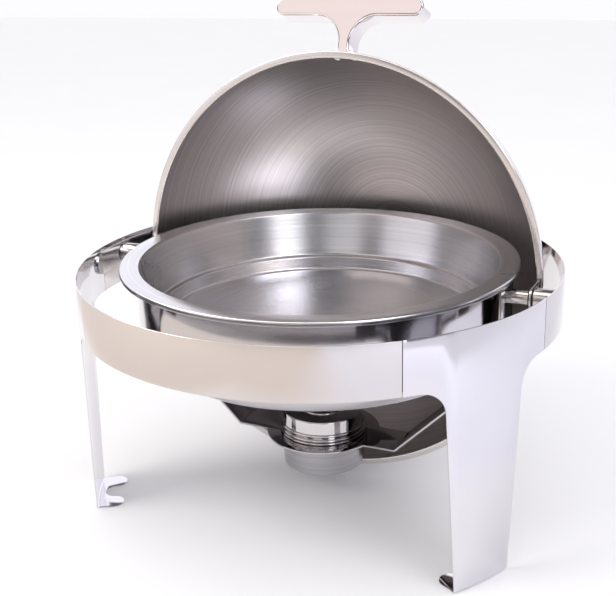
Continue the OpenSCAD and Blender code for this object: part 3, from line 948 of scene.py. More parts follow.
@dataclass
class Pivots:
    """The two pivot stacks, from the hanger out to the ring, mm along X from the centre."""

    finishes: Finishes
    pin: float = 4.0
    play: float = 0.1  # between a washer and the lid ear
    sleeve_r: float = 7.0
    boss_end: float = 238.2
    boss_r: float = 10.5
    washer_t: float = 1.3
    washer_r: float = 9.0
    nut_h: float = 4.96
    nut_across: float = 12.8
    thread: float = 1.25  # pitch of the pin's thread
    thread_depth: float = 0.45
    pin_past: float = 0.6  # how far the pin's end stands past its nut

    @property
    def sleeve_end(self) -> float:
        """Outer end of a spacer sleeve, against the inner washer."""
        return EAR_IN - self.play - self.washer_t

    @property
    def boss_start(self) -> float:
        """Inner end of a boss, against the outer washer."""
        return EAR_IN + EAR_T + self.play + self.washer_t

    def lathe(self, name: str, outline: Sequence[Point2]) -> Piece:
        """Turn one solid right-hand part about the pivot axis.

        Args:
            name: Name of the part.
            outline: Place along X and radius.

        Returns:
            The part, shaded smooth.
        """
        piece = turned(name, outline, Axis.PIVOT, False, 64, AXLE)
        smooth(piece, 25)
        return piece

    def tube(self, name: str, start: float, end: float, outer: float, edge: float) -> Piece:
        """Turn a right-hand tube that fits the pin.

        Args:
            name: Name of the part.
            start: Inner end along X.
            end: Outer end along X.
            outer: Outer radius.
            edge: Rounding of its outer edges.

        Returns:
            The tube, shaded smooth.
        """
        outline = rounded([(start, self.pin, edge / 2), (start, outer, edge), (end, outer, edge),
                           (end, self.pin, edge / 2)], True, 4)
        piece = turned(name, outline, Axis.PIVOT, True, 64, AXLE)
        smooth(piece, 25)
        return piece

    def both(self, right: Piece, slot: str, finish: bpy.types.Material, right_node: str,
             left_node: str) -> None:
        """Mirror a right-hand part to the left and dress the pair.

        Args:
            right: The finished right-hand part.
            slot: The record's material slot.
            finish: The pair's material.
            right_node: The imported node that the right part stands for.
            left_node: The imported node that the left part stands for.
        """
        left = mirrored_copy(right, right.name.replace("right", "left"))
        smooth(left, 25)
        place_on(right, Body.STAND, slot, finish, right_node)
        place_on(left, Body.STAND, slot, finish, left_node)

    def bosses(self) -> None:
        """Turn the bosses between the ring and the lid ears."""
        boss = self.tube("pivot_boss_right", self.boss_start, self.boss_end, self.boss_r, 1.0)
        self.both(boss, "turned_steel", self.finishes.turned, "right_boss", "left_boss")

    def sleeves(self) -> None:
        """Turn the spacer sleeves between the lid ears and the hangers."""
        sleeve = self.tube("spacer_sleeve_right", HANGER_IN + HANGER_T, self.sleeve_end,
                           self.sleeve_r, 0.6)
        self.both(sleeve, "turned_steel", self.finishes.turned, "right_sleeve", "left_sleeve")

    def pins(self) -> None:
        """Turn the hinge pins, each with a chamfered end and three grooves of its thread."""
        end = HANGER_IN - self.nut_h - self.pin_past
        point = end + 0.9
        outline = [(end, 0.0), (end, self.pin - 1.2), (point, self.pin)]
        for k in range(3):
            start = point + self.pin_past + self.thread * k
            outline += [(start, self.pin), (start + 0.4, self.pin - self.thread_depth),
                        (start + 0.8, self.pin)]
        outline += [(self.boss_end, self.pin), (self.boss_end, 0.0)]
        pin = self.lathe("hinge_pin_right", outline)
        self.both(pin, "turned_steel", self.finishes.turned, "right_hinge_pin", "left_hinge_pin")

    def washers(self) -> None:
        """Turn the friction washers on both faces of the lid ears."""
        for number, start in enumerate((self.sleeve_end, self.boss_start - self.washer_t), 1):
            washer = self.tube(f"friction_washer_right_{number}", start, start + self.washer_t,
                               self.washer_r, 0.3)
            self.both(washer, "washer", self.finishes.fibre, "friction_washers",
                      "friction_washers")

    def nuts(self) -> None:
        """Make one chamfered hexagon nut and its mirror image."""
        start = HANGER_IN - self.nut_h
        clear_selection()
        bpy.ops.mesh.primitive_cylinder_add(
            vertices=6, radius=self.nut_across / math.cos(math.pi / 6) / 2000,
            depth=self.nut_h / 1000, rotation=(0, math.pi / 2, 0),
            location=((HANGER_IN - self.nut_h / 2) / 1000, 0, AXLE / 1000))
        nut = bpy.context.active_object
        nut.name = nut.data.name = "hinge_nut_right"
        settle(nut)
        corner = self.nut_across / 2 + 1.2
        cone = self.lathe("tool", [
            (start - 0.01, 0), (start - 0.01, corner - 1.5), (start + 1.0, corner),
            (HANGER_IN + 0.01, corner), (HANGER_IN + 0.01, 0)])
        combine(nut, cone, "INTERSECT")
        ease(nut, 0.2, 2, 35)
        smooth(nut, 30)
        self.both(nut, "fastener", self.finishes.fastener, "hinge_nuts", "hinge_nuts")

    def build(self) -> None:
        """Build and dress both pivots."""
        self.bosses()
        self.sleeves()
        self.pins()
        self.washers()
        self.nuts()


# ---------------------------------------------------------------- burner bracket


@dataclass
class BurnerBracket:
    """Hangers, bent strap with its round plate, and the rivets that join them, mm."""

    finishes: Finishes
    strap_w: float = 45.0
    strap_t: float = 2.0
    knee: float = 89.0
    inner_bend: float = 1.6
    plate_top: float = BURNER_TOP
    plate_r: float = 59.8
    hole_r: float = 43.4
    lap_h: float = 24.0
    hanger_top: float = 19.0
    hanger_corner: float = 3.0
    rivet_r: float = 2.4
    rivet_head: float = 1.6

    @property
    def lap(self) -> float:
        """Inner face of the strap's riveted end."""
        return HANGER_IN - self.strap_t

    @property
    def slope_top(self) -> float:
        """Height of the bend at the top of the strap's slope, from the pivots."""
        return self.plate_top + self.lap - self.knee

    def strap(self) -> None:
        """Draw the strap's side view, extrude it to its width, and join the round plate."""
        bend = self.strap_t * (math.sqrt(2) - 1)
        low = self.plate_top - self.strap_t
        lap, top = self.lap, self.slope_top
        tight, wide_bend = self.inner_bend, self.inner_bend + self.strap_t
        half = [(self.knee, low, wide_bend), (HANGER_IN, top - bend, wide_bend),
                (HANGER_IN, top + self.lap_h, 0.4), (lap, top + self.lap_h, 0.4),
                (lap, top, tight), (self.knee - bend, self.plate_top, tight)]
        outline = half + [(-x, z, r) for x, z, r in reversed(half)]
        wide = self.strap_w / 2
        piece = draw("burner_strap", [(x, -wide, z + AXLE) for x, z in rounded(outline, True, 5)],
                     closed=True)
        with editing(piece, "FACE"):
            bpy.ops.mesh.extrude_region_move(
                TRANSFORM_OT_translate={"value": (0, self.strap_w / 1000, 0)})
        tidy(piece)
        top_z = AXLE + self.plate_top
        combine(piece, rod("tool", self.plate_r, top_z - self.strap_t, top_z), "UNION")
        combine(piece, rod("tool", self.hole_r, top_z - 9, top_z + 9), "DIFFERENCE")
        tidy(piece, 0.05)
        ease(piece, 0.3, 2, 40)
        smooth(piece, 25)
        place_on(piece, Body.STAND, "polished_bracket", self.finishes.bracket, "burner_bracket")

    def hangers(self) -> None:
        """Make the right hanger, with its lower corners rounded, and its mirror image."""
        wide = self.strap_w / 2
        right = block("hanger_right", (HANGER_IN, -wide, AXLE + self.slope_top - 4),
                      (HANGER_IN + HANGER_T, wide, AXLE + self.hanger_top))
        with editing(right, "EDGE"):
            select_edges(right, lambda a, b: abs(a.x - b.x) > 1 and a.z < AXLE - 32)
            bpy.ops.mesh.bevel(offset=self.hanger_corner / 1000, segments=5, affect="EDGES")
        ease(right, 0.3, 2, 40)
        smooth(right)
        left = mirrored_copy(right, "hanger_left")
        smooth(left)
        place_on(right, Body.STAND, "inner_plate", self.finishes.inner, "right_hanger")
        place_on(left, Body.STAND, "inner_plate", self.finishes.inner, "left_hanger")

    def rivets(self) -> None:
        """Turn one rivet with two domed heads and copy it to the four places."""
        out = HANGER_IN + HANGER_T
        shank, tall = self.rivet_r, self.rivet_head
        dome = arc((0, shank), tall, 0, 90, 6)
        outline = [(self.lap - tall, 0), *((self.lap - a, r) for a, r in dome),
                   (self.lap, shank), (out, shank), *((out + a, r) for a, r in reversed(dome)),
                   (out + tall, 0)]
        place = AXLE + self.slope_top + self.lap_h / 2
        model = turned("rivet", outline, Axis.PIVOT, False, 32, place)
        smooth(model, 35)
        for number, side in enumerate((-1, 1)):
            right = turned_copy(model, f"strap_rivet_right_{number}", 0)
            right.location.y = side * self.strap_w / 4000
            settle(right)
            left = mirrored_copy(right, f"strap_rivet_left_{number}")
            for piece in (right, left):
                place_on(piece, Body.STAND, "fastener", self.finishes.fastener, "strap_rivets")
        bpy.data.objects.remove(model)

    def build(self) -> None:
        """Build and dress the bracket."""
        self.strap()
        self.hangers()
        self.rivets()


# ---------------------------------------------------------------- pans


@dataclass
class Pans:
    """Food pan and water pan; heights are from the pivots, mm."""

    finishes: Finishes
    pan_r: float = PAN_R
    pan_depth: float = 65.0
    flange: float = 20.7
    flange_w: float = 19.5
    lip: float = 4.7
    wall_lean: float = 12.0
    step_h: float = 15.0
    step_w: float = 6.0
    crown: float = 0.6  # how far the floor stands up in its middle
    sheet: float = SHEET
    flange_gap: float = 0.3  # between the two pans' flanges
    water_gap: float = 32.5
    water_corner: float = 30.0
    water_lip: float = 2.2
    wall_gap: float = 1.7
    lip_gap: float = 1.2

    @property
    def pan_in(self) -> float:
        """Radius of the food pan's mouth."""
        return self.pan_r - self.flange_w

    @property
    def step_r(self) -> float:
        """Outer radius of the food pan's step."""
        return self.pan_in - self.wall_lean

    @property
    def floor_r(self) -> float:
        """Radius of the food pan's floor."""
        return self.step_r - self.step_w

    @property
    def floor(self) -> float:
        """Height of the food pan's floor."""
        return self.flange - self.pan_depth

    @property
    def water_r(self) -> float:
        """Outer radius of the water pan's wall."""
        return self.pan_in + self.sheet + self.wall_gap

    @property
    def water_floor(self) -> float:
        """Height of the underside of the water pan's floor."""
        return self.floor - self.sheet - self.water_gap

    @property
    def water_top(self) -> float:
        """Height of the water pan's flange, close under the food pan's."""
        return self.flange - self.sheet - self.flange_gap

    @property
    def water_edge(self) -> float:
        """Radius of the water pan's flange, inside the food pan's lip."""
        return self.pan_r - self.sheet - self.lip_gap

    def food_pan(self) -> None:
        """Spin the food pan: crowned floor, step, leaning wall, flange and turned-down lip."""
        step = self.floor + self.step_h
        outline = [(k * 60.0, self.floor + self.crown * (1 - k * k / 6)) for k in range(3)]
        outline += rounded([
            (140.0, self.floor, 0), (self.floor_r, self.floor, 3.0),
            (self.floor_r + 0.4, step, 2.2), (self.step_r, step + 0.3, 3.0),
            (self.pan_in - 0.6, self.flange, 3.2), (self.pan_r - 0.05, self.flange, 2.2),
            (self.pan_r, self.flange - self.lip, 0)], False, 7)
        piece = turned("food_pan_spun", outline, Axis.UPRIGHT, False, 180, AXLE)
        face_away(piece, lambda c, n: n.z > 0)
        thicken(piece, self.sheet)
        ease(piece, 0.25, 2, 60)
        smooth(piece, 35)
        place_on(piece, Body.FOOD_PAN, "satin_pan", self.finishes.pan, "food_pan")

    def water_pan(self) -> None:
        """Spin the water pan with its rounded bottom and the flange under the food pan's."""
        outline = rounded([
            (0.0, self.water_floor, 0), (self.water_r, self.water_floor, self.water_corner),
            (self.water_r, self.water_top, 1.0), (self.water_edge, self.water_top, 0.9),
            (self.water_edge, self.water_top - self.water_lip, 0)], False, 12)
        piece = turned("water_pan_spun", outline, Axis.UPRIGHT, False, 180, AXLE)
        face_away(piece, lambda c, n: n.dot(Vector((c.x, c.y, (c.z - AXLE) * 2))) < 0)
        thicken(piece, self.sheet)
        smooth(piece, 35)
        place_on(piece, Body.STAND, "water_pan", self.finishes.water_pan, "water_pan")

    def build(self) -> None:
        """Build and dress both pans."""
        self.food_pan()
        self.water_pan()


# ---------------------------------------------------------------- lid


@dataclass
class RollTop:
    """The dome lid with its rolled rim, ears, handle and screws, drawn closed, mm."""

    finishes: Finishes
    outer: float = LID_R
    sheet: float = SHEET
    rim_low: float = 28.0
    rim_h: float = 3.0
    rim_w: float = 7.0
    rim_out: float = 220.4
    slot_play: float = 0.5  # round an ear in the rim's slot
    ear_w: float = 22.0
    ear_top: float = 76.0
    bar: float = 161.0
    bar_h: float = 19.0
    depth: float = 28.0
    reach: float = 59.0
    stem: float = 12.4
    stem_arc: float = 27.0
    base: float = 32.0
    base_h: float = 4.5
    soft_edge: float = 4.5  # rounding of the handle's faces
    elevation: float = 18.0
    screw_pitch: float = 19.8
    screw_d: float = 5.0
    screw_head: float = 2.4
    screw_depth: float = 3.4

    @property
    def ear_out(self) -> float:
        """Outer face of the lid ears along X."""
        return EAR_IN + EAR_T

    @property
    def inner(self) -> float:
        """Inner radius of the dome."""
        return self.outer - self.sheet

    def dome(self) -> None:
        """Spin the dome and its rolled rim as one closed section, and cut the ears' slots."""
        high = self.rim_low + self.rim_h
        end = self.rim_h / 2
        middle = self.rim_low + end
        start_out = math.degrees(math.asin((high + 0.4) / self.outer))
        start_in = math.degrees(math.asin((high + 0.6) / self.inner))
        outline = arc((0, 0), self.outer, 90, start_out, 56)
        outline += arc((self.rim_out - end, middle), end, 60, -90, 8)
        outline += arc((self.rim_out - self.rim_w + end, middle), end, -90, -270, 10)
        outline += arc((0, 0), self.inner, start_in, 90, 56)
        piece = turned("dome", outline, Axis.UPRIGHT, False, 192, 0.0)
        for side in (-1, 1):
            ear = side * (EAR_IN + EAR_T / 2)
            thin, wide = EAR_T / 2 + self.slot_play, self.ear_w / 2 + self.slot_play
            tool = block("tool", (ear - thin, -wide, self.rim_low - 8),
                         (ear + thin, wide, high + 1.5))
            combine(piece, tool, "DIFFERENCE")
        for finish in (self.finishes.lid_outside, self.finishes.lid_inside, self.finishes.rim):
            piece.data.materials.append(finish)
        with editing(piece, "FACE"):
            split = (self.outer + self.inner) / 2
            select_faces(piece, lambda c, n: c.length < split and c.z > high)
            piece.active_material_index = 1
            bpy.ops.object.material_slot_assign()
            select_faces(piece, lambda c, n: c.z <= high + 0.3)
            piece.active_material_index = 2
            bpy.ops.object.material_slot_assign()
        roll_back(piece)
        smooth(piece, 30)
        place_on(piece, Body.LID, "brushed_lid", self.finishes.lid_outside, "lid_dome")

    def ears(self) -> None:
        """Make the right ear as one bent strip with a round lower end, and its mirror image."""
        half = self.ear_w / 2
        meet = math.sqrt(self.inner ** 2 - self.ear_out ** 2) - 2
        flat = arc((0, 0), half, 180, 360, 24) + [(half, meet), (-half, meet)]
        right = draw("ear", [(self.ear_out, y, z) for y, z in flat], closed=True)
        with editing(right):
            select_verts(right, lambda p: p.z > meet - 0.1)
            x, z = self.ear_out, meet
            radius = self.inner - 0.35
            start = math.degrees(math.asin((meet + 3) / radius))
            stop = math.degrees(math.asin((self.ear_top - 0.6) / radius))
            for new_x, new_z in arc((0, 0), radius, start, stop, 10):
                bpy.ops.mesh.extrude_region_move(TRANSFORM_OT_translate={
                    "value": ((new_x - x) / 1000, 0, (new_z - z) / 1000)})
                x, z = new_x, new_z
        tidy(right)
        face_away(right, lambda c, n: n.x > 0)
        thicken(right, EAR_T)
        ease(right, 0.35, 2, 50)
        smooth(right)
        left = mirrored_copy(right, "lid_ear_left")
        right.name = right.data.name = "lid_ear_right"
        smooth(left)
        for piece, node in ((right, "right_lid_ear"), (left, "left_lid_ear")):
            roll_back(piece)
            place_on(piece, Body.LID, "inner_plate", self.finishes.inner, node)

    def handle(self) -> None:
        """Draw the T handle's outline, extrude it to its depth, fit it to the dome, round it."""
        top = self.outer + self.reach
        under = top - self.bar_h
        end = self.bar_h / 2
        arc_x = self.stem / 2 + self.stem_arc
        foot = self.outer + self.base_h
        half = [(0.0, top)]
        half += arc((self.bar / 2 - end, under + end), end, 90, -90, 16)
        half += arc((arc_x, under - self.stem_arc), self.stem_arc, 90, 180, 16)
        half += rounded([
            (self.stem / 2, under - self.stem_arc, 0), (self.stem / 2, foot, 2.5),
            (self.base / 2, foot, self.soft_edge + 0.4), (self.base / 2, self.outer - 4, 0)],
            False, 5)[1:]
        outline = half + [(-x, y) for x, y in reversed(half[1:])]
        deep = self.depth / 2
        piece = draw("handle", [(x, y, -deep) for x, y in outline], closed=True)
        with editing(piece, "FACE"):
            bpy.ops.mesh.extrude_region_move(
                TRANSFORM_OT_translate={"value": (0, 0, self.depth / 1000)})
        tidy(piece)
        ease(piece, self.soft_edge, 5, 60)
        piece.rotation_euler = (math.radians(180 - self.elevation), 0, 0)
        settle(piece)
        clear_selection()
        bpy.ops.mesh.primitive_uv_sphere_add(segments=192, ring_count=96, radius=self.outer / 1000)
        ball = bpy.context.active_object
        combine(piece, ball, "DIFFERENCE")
        smooth(piece, 32)
        roll_back(piece)
        piece.name = piece.data.name = "roll_top_handle"
        place_on(piece, Body.LID, "polished_handle", self.finishes.handle, "lid_handle")

    def screws(self) -> None:
        """Make one domed screw with a cross recess, and copy it beside itself."""
        head_r = self.screw_d * 0.92
        seat = math.sqrt(self.inner ** 2 - (self.screw_pitch / 2 + head_r) ** 2) - 0.1
        crown, shank, tip = 5.5, self.screw_d / 2, self.outer + self.screw_depth
        head = [(0.0, seat - self.screw_head)]
        head += arc((0, seat - self.screw_head + crown), crown, -88, -38, 8)
        head += [(head_r - 0.1, seat - 0.2), (shank, seat - 0.1), (shank, tip), (0.0, tip)]
        screw = turned("screw", head, Axis.UPRIGHT, False, 40, 0.0)
        for wide, thin in ((3.0, 0.45), (0.45, 3.0)):
            tool = block("tool", (-wide, -thin, seat - 4), (wide, thin, seat - 1.5))
            combine(screw, tool, "DIFFERENCE")
        smooth(screw, 30)
        screw.rotation_euler = (math.radians(90 - self.elevation), 0, 0)
        settle(screw)
        for number, side in enumerate((-1, 1), 1):
            piece = turned_copy(screw, f"handle_screw_{number}", 0)
            piece.location.x = side * self.screw_pitch / 2000
            settle(piece)
            roll_back(piece)
            place_on(piece, Body.LID, "fastener", self.finishes.fastener, "handle_screws")
        bpy.data.objects.remove(screw)

    def build(self) -> None:
        """Build and dress the whole lid."""
        self.dome()
        self.ears()
        self.handle()
        self.screws()


# ---------------------------------------------------------------- fuel unit


@dataclass
class FuelUnit:
    """Fuel cup, ribbed cover and damper; heights are from the pivots, mm."""

    finishes: Finishes
    cup_r: float = 42.6
    cup_drop: float = 36.0
    plate_top: float = BURNER_TOP
    cover_h: float = 25.0
    sheet: float = SHEET
    bead_r: float = 45.0
    bead_h: float = 2.4
    neck_r: float = 41.3
    neck_h: float = 15.0
    opening_r: float = 22.0
    collar_w: float = 1.6
    collar_h: float = 1.2
    rib: float = 1.68
    damper_arm: float = 34.0
    damper_open: float = 110.0
    damper_t: float = 1.0
    damper_lap: float = 3.0  # past the opening's edge
    eye_r: float = 6.0  # round the damper's rivet
    tab_w: float = 10.0
    tab_out: float = 4.0
    rivet_r: float = 2.0
    rivet_head: float = 3.6  # radius of the rivet's head, shoulder and tail

    @property
    def cup_floor(self) -> float:
        """Height of the underside of the cup."""
        return self.plate_top - self.cup_drop

    @property
    def cover_top(self) -> float:
        """Height of the top of the cover."""
        return self.plate_top + self.cover_h

    @property
    def damper_low(self) -> float:
        """Height of the underside of the damper above the floor."""
        return AXLE + self.cover_top + self.collar_h + 0.1

    def cup(self) -> None:
        """Spin the satin cup with its bead, and polish what stands above the plate."""
        low, plate = self.cup_floor, self.plate_top
        bore = self.neck_r - self.sheet
        outline = rounded([
            (0, low, 0), (self.cup_r, low, 2.6), (self.cup_r, plate, 0.3),
            (self.bead_r, plate, 1.1), (self.bead_r, plate + self.bead_h, 1.1),
            (self.neck_r, plate + self.bead_h, 0.4), (self.neck_r, plate + self.neck_h, 0.3),
            (bore, plate + self.neck_h, 0.3), (bore, low + self.sheet, 2.2),
            (0, low + self.sheet, 0)], False, 5)
        piece = turned("fuel_cup_spun", outline, Axis.UPRIGHT, False, 128, AXLE)
        smooth(piece, 35)
        piece.data.materials.append(self.finishes.cup)
        piece.data.materials.append(self.finishes.cover)
        with editing(piece, "FACE"):
            select_faces(piece, lambda c, n: c.z > AXLE + plate - 0.1
                         and c.xy.length > bore + 0.2)
            piece.active_material_index = 1
            bpy.ops.object.material_slot_assign()
        place_on(piece, Body.FUEL_UNIT, "satin_cup", self.finishes.cup, "fuel_cup")

    def cover(self) -> None:
        """Spin the cover with its two ribs, rounded shoulder and raised collar."""
        low = self.plate_top + self.bead_h + 0.1
        inner, top = self.cup_r - self.sheet, self.cover_top
        neck = self.opening_r + self.collar_w
        outline = [(inner, low), (self.cup_r, low)]
        for k in (0, 1):
            middle = low + self.rib + k * 3.2 * self.rib
            outline += arc((self.cup_r, middle), self.rib, -84, 84, 8)
        outline += rounded([
            (self.cup_r, low + 10, 0), (self.cup_r, top, 1.8), (neck, top, 0.6),
            (neck, top + self.collar_h, 0.5), (self.opening_r, top + self.collar_h, 0.5),
            (self.opening_r, top - self.sheet, 0.2), (inner, top - self.sheet, 1.0),
            (inner, low, 0)], False, 5)
        piece = turned("fuel_cover_spun", outline, Axis.UPRIGHT, False, 128, AXLE)
        smooth(piece, 35)
        place_on(piece, Body.FUEL_UNIT, "polished_cover", self.finishes.cover, "fuel_cover")

    def damper(self) -> None:
        """Make the damper plate, with the eye for its rivet and a turned-up tab."""
        arm, half = self.damper_arm, self.tab_w / 2
        disc = self.opening_r + self.damper_lap
        join = math.degrees(math.asin(half / disc))
        tab = -arm - disc - self.tab_out
        outline = arc((0, 0), self.eye_r, -33, 213, 16)
        outline += arc((0, -arm), disc, 90 + join, 270 - join, 24)
        outline += [(-half, tab), (half, tab)]
        outline += arc((0, -arm), disc, -90 + join, 90 - join, 24)
        piece = draw("damper_disc", [(x, y, 0) for x, y in outline], closed=True)
        with editing(piece):
            select_verts(piece, lambda p: p.y < tab + 0.1)
            bpy.ops.mesh.extrude_region_move(TRANSFORM_OT_translate={"value": (0, 0.0003, 0.001)})
            bpy.ops.mesh.extrude_region_move(TRANSFORM_OT_translate={"value": (0, 0, 0.006)})
        tidy(piece)
        face_away(piece, lambda c, n: n.z > 0 or n.y > 0.5)
        thicken(piece, self.damper_t, outwards=True)
        ease(piece, 0.25, 2, 50)
        smooth(piece, 30)
        piece.rotation_euler = (0, 0, math.radians(self.damper_open))
        piece.location = (0, arm / 1000, self.damper_low / 1000)
        settle(piece)
        place_on(piece, Body.DAMPER, "satin_cup", self.finishes.cup, "damper_plate")

    def damper_rivet(self) -> None:
        """Turn the rivet that holds the damper: tail, shank, shoulder, neck and domed head."""
        top = self.damper_low + self.damper_t
        cover = AXLE + self.cover_top
        under, shoulder = cover - self.sheet, cover + self.collar_h
        head, shank, neck = self.rivet_head, self.rivet_r, self.rivet_r - 0.1
        rivet = turned("damper_rivet_turned", [
            (0, under - 1), (head - 0.4, under - 1), (head, under - 0.6), (head, under),
            (shank, under), (shank, cover), (head, cover), (head, shoulder), (neck, shoulder),
            (neck, top + 0.1), (head, top + 0.1), (head - 0.1, top + 0.6), (head - 1, top + 1.1),
            (head - 2.2, top + 1.3), (0, top + 1.3)], Axis.UPRIGHT, False, 40, 0.0)
        rivet.location.y = self.damper_arm / 1000
        settle(rivet)
        smooth(rivet, 35)
        place_on(rivet, Body.FUEL_UNIT, "fastener", self.finishes.fastener, "damper_rivet")

    def build(self) -> None:
        """Build and dress the fuel unit."""
        self.cup()
        self.cover()
        self.damper()
        self.damper_rivet()


# ---------------------------------------------------------------- studio


@dataclass(frozen=True)
class RoomPatch:
    """One broad soft area of the studio's surroundings that polished steel mirrors."""

    toward: float  # its middle, degrees from the front, to the right
    height: float  # its middle above the horizon, degrees
    wide: float  # half width, degrees
    tall: float  # half height, degrees
    colour: str
    strength: float


@dataclass
class Studio:
    """Pale floor, soft surroundings, softboxes and the camera."""

    azimuth: float = 24.672  # of the camera from the front, to the right, degrees
    elevation: float = 17.351  # of the camera above the pivots, degrees
    roll: float = -1.235  # of the camera, degrees
    distance: float = 1.0256  # of the camera from the pivots' middle, metres
    lens: float = 58.93  # focal length, mm
    shift_x: float = -0.01976
    shift_y: float = -0.03914
    air: str = "#707074"  # the dim room that the steel mirrors between the bright patches
    feather: float = 0.06  # how softly a bright patch ends, as the sine of an angle
    slant: float = 0.31  # how the floor's plain untinted middle narrows towards the camera
    flank: tuple[float, float] = (0.33, 0.55)  # where the floor's painted lamp tint starts and is full, metres
    fore: tuple[float, float] = (0.24, 0.6)  # the same in front, metres
    warm: float = 0.16  # half width of the change from painted warm light to painted cool light on the floor, metres
    patches: tuple[RoomPatch, ...] = (
        RoomPatch(205.0, 14.0, 60.0, 24.0, "#f1f0f8", 1.40),  # white wall behind
        RoomPatch(-26.0, 35.0, 24.0, 13.0, "#f9ece9", 1.15),  # bright wall in front
        RoomPatch(0.0, 76.0, 34.0, 14.0, "#fffdfa", 2.60),  # skylight
        RoomPatch(58.0, 39.0, 15.0, 11.0, "#f2f1fb", 5.00),  # high cool lamp on the right
        RoomPatch(-84.0, 46.0, 16.0, 14.0, "#fff4ea", 5.60),  # high warm lamp on the left
        RoomPatch(113.0, 5.0, 6.0, 9.0, "#f3f3fd", 2.20),  # doorway on the right
        RoomPatch(48.0, 8.0, 10.0, 11.0, "#f5f4f8", 2.40),  # narrow light by the camera
        RoomPatch(8.0, 8.0, 12.0, 10.0, "#f1eff2", 1.10),  # wall beside it
        RoomPatch(-42.0, 5.0, 20.0, 12.0, "#efeaf0", 1.30),  # softer light on its other side
    )

    def floor(self) -> None:
        """Lay a large pale floor with painted light on it: warm in front on the left and cool on
        the right.
        """
        clear_selection()
        bpy.ops.mesh.primitive_plane_add(size=16, location=(0, 0, 0))
        plane = bpy.context.active_object
        plane.name = plane.data.name = "studio_floor"
        material, tree = new_material("pale_studio_floor")
        place = add_node(tree, "ShaderNodeTexCoord").outputs["Object"]
        grain = add_node(tree, "ShaderNodeTexNoise", inputs={
            "Vector": place, "Scale": 3.0, "Detail": 2.0})
        pale = add_node(tree, "ShaderNodeMix", {"data_type": "RGBA"}, {
            "Factor": grain.outputs["Fac"], "A": linear("#faf9fa"), "B": linear("#f7f6f7")})
        split = add_node(tree, "ShaderNodeSeparateXYZ", inputs={"Vector": place})
        lean = math.radians(self.azimuth)
        ahead = add_node(tree, "ShaderNodeVectorMath", {"operation": "DOT_PRODUCT"}, {
            0: place, 1: (math.sin(lean), -math.cos(lean), 0)})
        aside = add_node(tree, "ShaderNodeVectorMath", {"operation": "DOT_PRODUCT"}, {
            0: place, 1: (math.cos(lean), math.sin(lean), 0)})
        wide = add_node(tree, "ShaderNodeMath", {"operation": "ABSOLUTE"}, {
            0: aside.outputs["Value"]})
        beyond = add_node(tree, "ShaderNodeMath", {"operation": "MULTIPLY_ADD"}, {
            0: ahead.outputs["Value"], 1: self.slant, 2: wide.outputs["Value"]})
        flank = add_node(tree, "ShaderNodeMapRange", {"interpolation_type": "SMOOTHSTEP"}, {
            "Value": beyond.outputs["Value"], "From Min": self.flank[0],
            "From Max": self.flank[1]})
        fore = add_node(tree, "ShaderNodeMapRange", {"interpolation_type": "SMOOTHSTEP"}, {
            "Value": ahead.outputs["Value"], "From Min": self.fore[0], "From Max": self.fore[1]})
        near = add_node(tree, "ShaderNodeMath", {"operation": "MAXIMUM"}, {
            0: flank.outputs["Result"], 1: fore.outputs["Result"]})
        # Painted light: warm lamp light on the left and cool lamp light on the right, tinted into
        # the floor's colour away from its middle, for the steel to mirror
        left = add_node(tree, "ShaderNodeMapRange", {"interpolation_type": "SMOOTHSTEP"}, {
            "Value": aside.outputs["Value"], "From Min": self.warm, "From Max": -self.warm})
        painted_lamp_tone = add_node(tree, "ShaderNodeMix", {"data_type": "RGBA"}, {
            "Factor": left.outputs["Result"], "A": linear("#f1f0f8"), "B": linear("#e6dcd4")})
        tint = add_node(tree, "ShaderNodeMix", {"data_type": "RGBA"}, {
            "Factor": near.outputs["Value"], "A": pale.outputs["Result"],
            "B": painted_lamp_tone.outputs["Result"]})
        shader = add_node(tree, "ShaderNodeBsdfPrincipled", inputs={
            "Base Color": tint.outputs["Result"], "Roughness": 0.7, "Specular IOR Level": 0.1})
        add_node(tree, "ShaderNodeOutputMaterial", inputs={"Surface": shader.outputs["BSDF"]})
        plane.data.materials.append(material)

    def patch_mask(self, tree: bpy.types.NodeTree, way: bpy.types.NodeSocket,
                   patch: RoomPatch) -> bpy.types.NodeSocket:
        """Work out how far a mirrored direction lies inside one patch.

        Args:
            tree: The world's node tree.
            way: The direction.
            patch: The patch.

        Returns:
            The share, 1 inside the patch and 0 outside it.
        """
        turn, rise = math.radians(patch.toward), math.radians(patch.height)
        ahead = Vector((math.sin(turn) * math.cos(rise), -math.cos(turn) * math.cos(rise),
                        math.sin(rise)))
        across = Vector((math.cos(turn), math.sin(turn), 0))
        front = add_node(tree, "ShaderNodeVectorMath", {"operation": "DOT_PRODUCT"}, {
            0: way, 1: ahead})
        share = add_node(tree, "ShaderNodeMath", {"operation": "GREATER_THAN"}, {
            0: front.outputs["Value"], 1: 0.0}).outputs["Value"]
        for axis, half in ((across, patch.wide), (ahead.cross(across), patch.tall)):
            dot = add_node(tree, "ShaderNodeVectorMath", {"operation": "DOT_PRODUCT"}, {
                0: way, 1: axis})
            size = add_node(tree, "ShaderNodeMath", {"operation": "ABSOLUTE"}, {
                0: dot.outputs["Value"]})
            edge = math.sin(math.radians(half))
            soft = add_node(tree, "ShaderNodeMapRange", {"interpolation_type": "SMOOTHSTEP"}, {
                "Value": size.outputs["Value"], "From Min": edge + self.feather,
                "From Max": edge - self.feather})
            share = add_node(tree, "ShaderNodeMath", {"operation": "MULTIPLY"}, {
                0: share, 1: soft.outputs["Result"]}).outputs["Value"]
        return share

